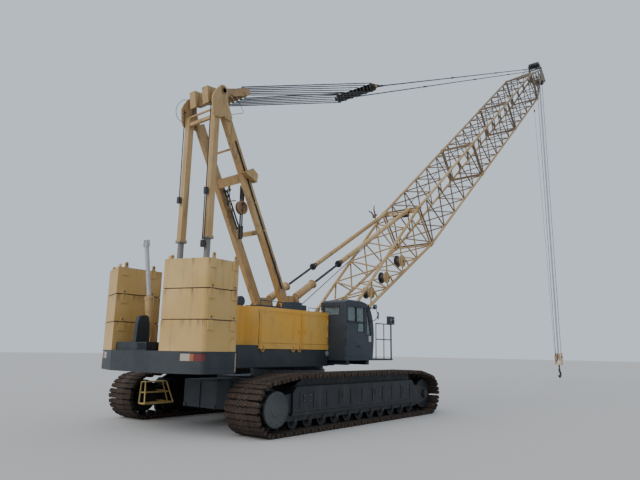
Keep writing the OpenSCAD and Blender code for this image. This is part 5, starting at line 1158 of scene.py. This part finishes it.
# %% Backstop caps, rings and bolts
STOP_EYE, STOP_Y, CAP_AT = (7.517, 8.841), 0.640, 1.250
cap = stepped([(0.168, 0), (0.168, 0.008), (0.150, 0.012), (0.060, 0.012)], 1, 32, "x")
seal = stepped([(0.097, -0.03), (0.100, 0.0), (0.097, 0.03)], 1, 32, "x")
cap_bolts = repeated(bolt_head(0.015, 0.012, "x"), circle(8, 0.128, "x") + np.array([0.010, 0, 0]))
rings, dots, seals = [], [], []
for side in (-1, 1):
    rings += [slanted(shape, STOP_FOOT, STOP_EYE, t, side * STOP_Y)
              for shape, t in ((cap, CAP_AT), (band(0.141, 0.02), 0.330), (band(0.141, 0.02), 0.920))]
    dots.append(slanted(cap_bolts, STOP_FOOT, STOP_EYE, CAP_AT, side * STOP_Y))
    seals.append(slanted(seal, STOP_FOOT, STOP_EYE, 3.200, side * STOP_Y))
put("backstop_caps", merged(rings), boom_tan, "backstop_lower")
put("backstop_cap_bolts", merged(dots), steel_grey, "backstop_lower")
put("backstop_seals", merged(seals), rubber, "backstop_upper")

# %% The weight cylinder's gland, hose and clamps
CYL_FOOT, CYL_MID, CYL_Y = (-5.290, 2.409), (-5.449, 3.680), 0.560
rise = (CYL_MID[1] - CYL_FOOT[1]) / math.dist(CYL_MID, CYL_FOOT)
gland = stepped([(0.135, -0.06), (0.135, 0.02), (0.105, 0.045), (0.068, 0.045)], 1, 32, "x")
collars = [slanted(shape, CYL_FOOT, CYL_MID, (z - CYL_FOOT[1]) / rise, CYL_Y)
           for shape, z in ((gland, 3.64), (band(0.132, 0.025), 2.75), (band(0.132, 0.025), 3.25))]
put("cylinder_gland", merged(collars), boom_tan, "upper")
hose = ((-5.30, 0.690, 2.62), (-5.30, 0.705, 2.80), (-5.34, 0.705, 3.20), (-5.40, 0.705, 3.50),
        (-5.43, 0.690, 3.60))
hose = smooth_path([from_swing(*corner) for corner in hose], 24)
put("cylinder_hose", tube(hose, 0.014, 8), rubber, "upper", True)

# %% [markdown]
# ## Wire ropes with their strands
#
# The CAD ropes are plain rods. A wire rope is six strands laid round a core, so here each rope is a
# tube whose section has six lobes that turn as they run along it. It shows as fine slanting bands.

# %% Laid ropes in place of the plain rods
def laid_rope(start, end, radius, lay=0.9, steps=60, sides=12):
    """A rope along a straight line: ring radius = r (1 + 0.12 cos(6 (t - turn))), where the turn
    grows by one round for each lay length."""
    start, end = np.asarray(start, float), np.asarray(end, float)
    way = end - start
    length = np.linalg.norm(way)
    way /= length
    n1 = np.cross(way, np.eye(3)[int(np.argmin(np.abs(way)))])
    n1 /= np.linalg.norm(n1)
    n2 = np.cross(way, n1)
    s = np.linspace(0, length, steps)[:, None]
    t = np.linspace(0, 2 * np.pi, sides, endpoint=False)[None]
    r = radius * (1 + 0.12 * np.cos(6 * (t - 2 * np.pi * s / lay)))[..., None]
    rings = start + s[..., None] * way + r * (np.cos(t)[..., None] * n1 + np.sin(t)[..., None] * n2)
    return rings.reshape(-1, 3), capped(steps, sides)


rows = [(side * a, side * b, v) for side in (-1, 1) for a, b in zip(BAIL_SHEAVES, BRIDLE_SHEAVES)
        for v in (-0.1883, 0.1883)]
reeving = [laid_rope(on_reeve(BAIL_AT, a, v), on_reeve(REEVE, b, v), 0.0195) for a, b, v in rows]
piece = put("boom_hoist_falls", merged(reeving), rope_dark, "stay_reeve")
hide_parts("boom_hoist_ropes")
falls = [laid_rope(from_swing(FALLS_X + dx, y, 2.000), from_swing(FALLS_X + dx, y, 25.681), 0.0165, 1.1, 110)
         for dx in (-0.3033, 0.3033) for y in (-0.120, 0.120)]
piece = put("hoist_falls", merged(falls), rope_dark, "hoist_line")
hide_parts("hoist_ropes")
print("falls", len(reeving) + len(falls))

# %% [markdown]
# ## Bridle covers, bracket horns and stowed links
#
# Plates close the bridle above and below its sheaves. The far backstop's bracket carries two horns
# that lead the rope. Spare pendant links hang in the gantry: a fork on rods, a sheave with its bail
# and two bars.

# %% Bridle covers and end plates
covers = [on_reeve(REEVE + 0.02, 0.0, v) for v in (-0.141, 0.141)]
covers += [on_reeve(REEVE + 0.02, y, 0.0) for y in (-0.937, 0.937)]
put("bridle_covers", cuboids(covers, [[0.165, 0.945, 0.008]] * 2 + [[0.165, 0.008, 0.135]] * 2,
                             pitch_turn(REEVE_ANGLE)), black_iron, "stay_bridle")
end = [(0.075, 0), (0.075, 0.015), (0.050, 0.022)]
ends = [repeated(stepped(end, s, 20), on_reeve(REEVE, s * 1.100, 0.0)) for s in (-1, 1)]
put("bridle_axle_ends", merged(ends), rusty_tan, "stay_bridle")

# %% Horns on the far backstop's bracket
HORN_Y = 0.800
horns = [tube([on_boom(u, HORN_Y, v) for u, v in path], [0.042, 0.036, 0.024], 8)
         for path in (((8.050, 1.420), (7.980, 1.640), (7.820, 1.800)),
                      ((8.200, 1.420), (8.260, 1.660), (8.420, 1.800)))]
foot = cuboids([on_boom(8.125, HORN_Y, 1.380)], (0.14, 0.05, 0.05), pitch_turn(BOOM_ANGLE))
post = tube([on_boom(8.125, HORN_Y, v) for v in (0.94, 1.38)], 0.032, 8)
put("bracket_horns", merged(horns + [foot, post]), dark_tan_as_shade, "boom")

# %% Spare links in the gantry
LINK_X, LINK_Y, BARS_Y = -2.930, -0.450, 0.430
pair = (LINK_Y - 0.045, LINK_Y + 0.045)
fork = cuboids([from_swing(LINK_X, y, 7.240) for y in pair], (0.050, 0.016, 0.230))
socket = cuboids([from_swing(LINK_X, y, 5.930) for y in pair], (0.045, 0.026, 0.180))
rods = [tube([from_swing(LINK_X, y, 7.05), from_swing(LINK_X, y, 5.80)], 0.026, 10) for y in pair]
put("hung_fork", merged([fork, socket] + rods), black_iron, "upper")
rim = [(0.225, 0), (0.225, 0.030), (0.205, 0.040), (0.165, 0.040), (0.155, 0.004), (0.060, 0.004),
       (0.050, 0.040)]
sheave = [repeated(stepped(rim, s, 36), from_swing(LINK_X, LINK_Y + s * 0.026, 6.720)) for s in (-1, 1)]
put("hung_sheave_rim", merged(sheave), rusty_tan, "upper")
t = np.linspace(-1.2, 1.5, 16)
bail = from_swing(-3.180, LINK_Y, 6.700) + np.stack([-0.26 * np.cos(t), 0.0 * t, 0.20 * np.sin(t)], -1)
put("hung_sheave_bail", tube(bail, 0.018, 8), rusty_tan, "upper", True)
bars = [tube(at_y(BARS_Y, ((-2.900 + dx, 7.500), (-2.230 + dx, 6.230))), 0.028, 8) for dx in (-0.05, 0.07)]
ties = at_y(BARS_Y, [(-2.900 + 0.67 * t, 7.500 - 1.27 * t) for t in (0.04, 0.5, 0.96)])
put("stowed_bars", merged(bars + [cuboids(ties, (0.085, 0.022, 0.035))]), black_iron, "upper")

# %% Cheeks that join the legs to the head plates
def flat_plate(corners, y0, y1):
    """A flat plate: its outline in X and Z at y0 and again at y1, joined by its edges."""
    n = len(corners)
    faces = [list(range(n)), list(range(n, 2 * n))[::-1]]
    faces += [[(i + 1) % n, i, n + i, n + (i + 1) % n] for i in range(n)]
    return np.concatenate([at_y(y, corners) for y in (y0, y1)]), faces


CHEEK = ((-4.050, 9.980), (-3.930, 9.700), (-3.800, 9.420), (-3.860, 9.310), (-4.100, 9.330), (-4.180, 9.600))
cheeks = [flat_plate(CHEEK, y0, y1) for y0, y1 in ((-0.803, -0.742), (0.742, 0.803))]
put("gantry_cheeks", merged(cheeks), boom_tan, "upper")

# %% [markdown]
# ## The cab's bulging front
#
# The windscreen of the real cab curves forward. Its outline in X and Z is carried across the cab:
# glass above the waist, painted sheet below it, both a few millimetres thick.

# %% Curved windscreen and front sheet
def curved_sheet(outline, y0, y1, thick, columns=7):
    """A sheet bent in X and Z: the outline and its copy moved inward by the thickness, joined all
    round. Between y0 and y1 it bulges forward in the middle by 25 mm (1 - c^2)."""
    o = np.asarray(outline, float)
    along = np.gradient(o, axis=0)
    along /= np.linalg.norm(along, axis=1, keepdims=True)
    inward = np.stack([-along[:, 1], along[:, 0]], -1)
    c = np.linspace(-1, 1, columns)
    sheets = []
    for layer in (o, o + thick * inward):
        x = layer[:, None, 0] + 0.025 * (1 - c[None] ** 2)
        z = np.broadcast_to(layer[:, None, 1], x.shape)
        y = np.broadcast_to((y0 + y1) / 2 + c[None] * (y1 - y0) / 2, x.shape)
        sheets.append(np.stack([x + SWING_X, y, z], -1).reshape(-1, 3))
    grid = np.arange(len(o) * columns).reshape(len(o), columns)
    n = grid.size
    front = np.stack([grid[:-1, :-1], grid[:-1, 1:], grid[1:, 1:], grid[1:, :-1]], -1)
    front = front.reshape(-1, 4).tolist()
    back = [[n + k for k in face[::-1]] for face in front]
    edge = np.concatenate([grid[:-1, 0], grid[-1, :-1], grid[:0:-1, -1], grid[0, :0:-1]]).tolist()
    sides = [[a, b, n + b, n + a] for a, b in zip(edge, edge[1:] + edge[:1])]
    return np.concatenate(sheets), front + back + sides


up = np.linspace(0, 1, 10)
glass_line = np.stack([1.846 - 0.300 * up ** 2.2, 2.800 + 1.010 * up], -1)
sheet_line = np.stack([1.770 + 0.076 * np.sin(np.linspace(0.0, 1.5, 8)), np.linspace(1.990, 2.800, 8)], -1)
put("cab_bulged_glass", curved_sheet(glass_line, -2.395, -1.361, 0.007), cab_glass, "upper", True)
put("cab_front_sheet", curved_sheet(sheet_line, -2.400, -1.356, 0.006), cab_grey, "upper", True)
front_edge = np.concatenate([sheet_line, glass_line[1:]]) - np.array([0.006, 0.0])
back_edge = np.array([(1.500, 3.800), (1.648, 3.180), (1.745, 2.840), (1.750, 1.990)])
for tag, y in (("right", -2.398), ("left", -1.366)):
    put("cab_front_cheek_" + tag, flat_plate(np.concatenate([front_edge, back_edge]), y - 0.004, y + 0.004),
        cab_grey, "upper")
put("cab_blank_label", cuboids([from_swing(1.585, -2.4045, 2.640)], (0.075, 0.0015, 0.105)), label_pale,
    "upper")

# %% Rail across the cab's door, under its panes
RAIL_Z = 3.170
rail_line = [from_swing(x, y, RAIL_Z) for x, y in ((0.270, -2.404), (0.275, -2.432), (0.300, -2.440),
                                                   (1.200, -2.440), (1.225, -2.432), (1.230, -2.404))]
put("cab_door_rail", tube(rail_line, 0.013, 10), black_iron, "cab_door_leaf", True)

# %% [markdown]
# ## The floor
#
# A plain pale floor stands in for the yard.

# %% Floor
bpy.ops.mesh.primitive_plane_add(size=400.0, location=(0, 0, 0))
floor = bpy.context.object
floor.name = "floor"
floor_material = bpy.data.materials.new("pale_floor")
floor_material.use_nodes = True
floor_shader = floor_material.node_tree.nodes["Principled BSDF"]
floor_shader.inputs["Base Color"].default_value = (0.46, 0.45, 0.44, 1.0)
floor_shader.inputs["Roughness"].default_value = 0.9
floor.data.materials.append(floor_material)
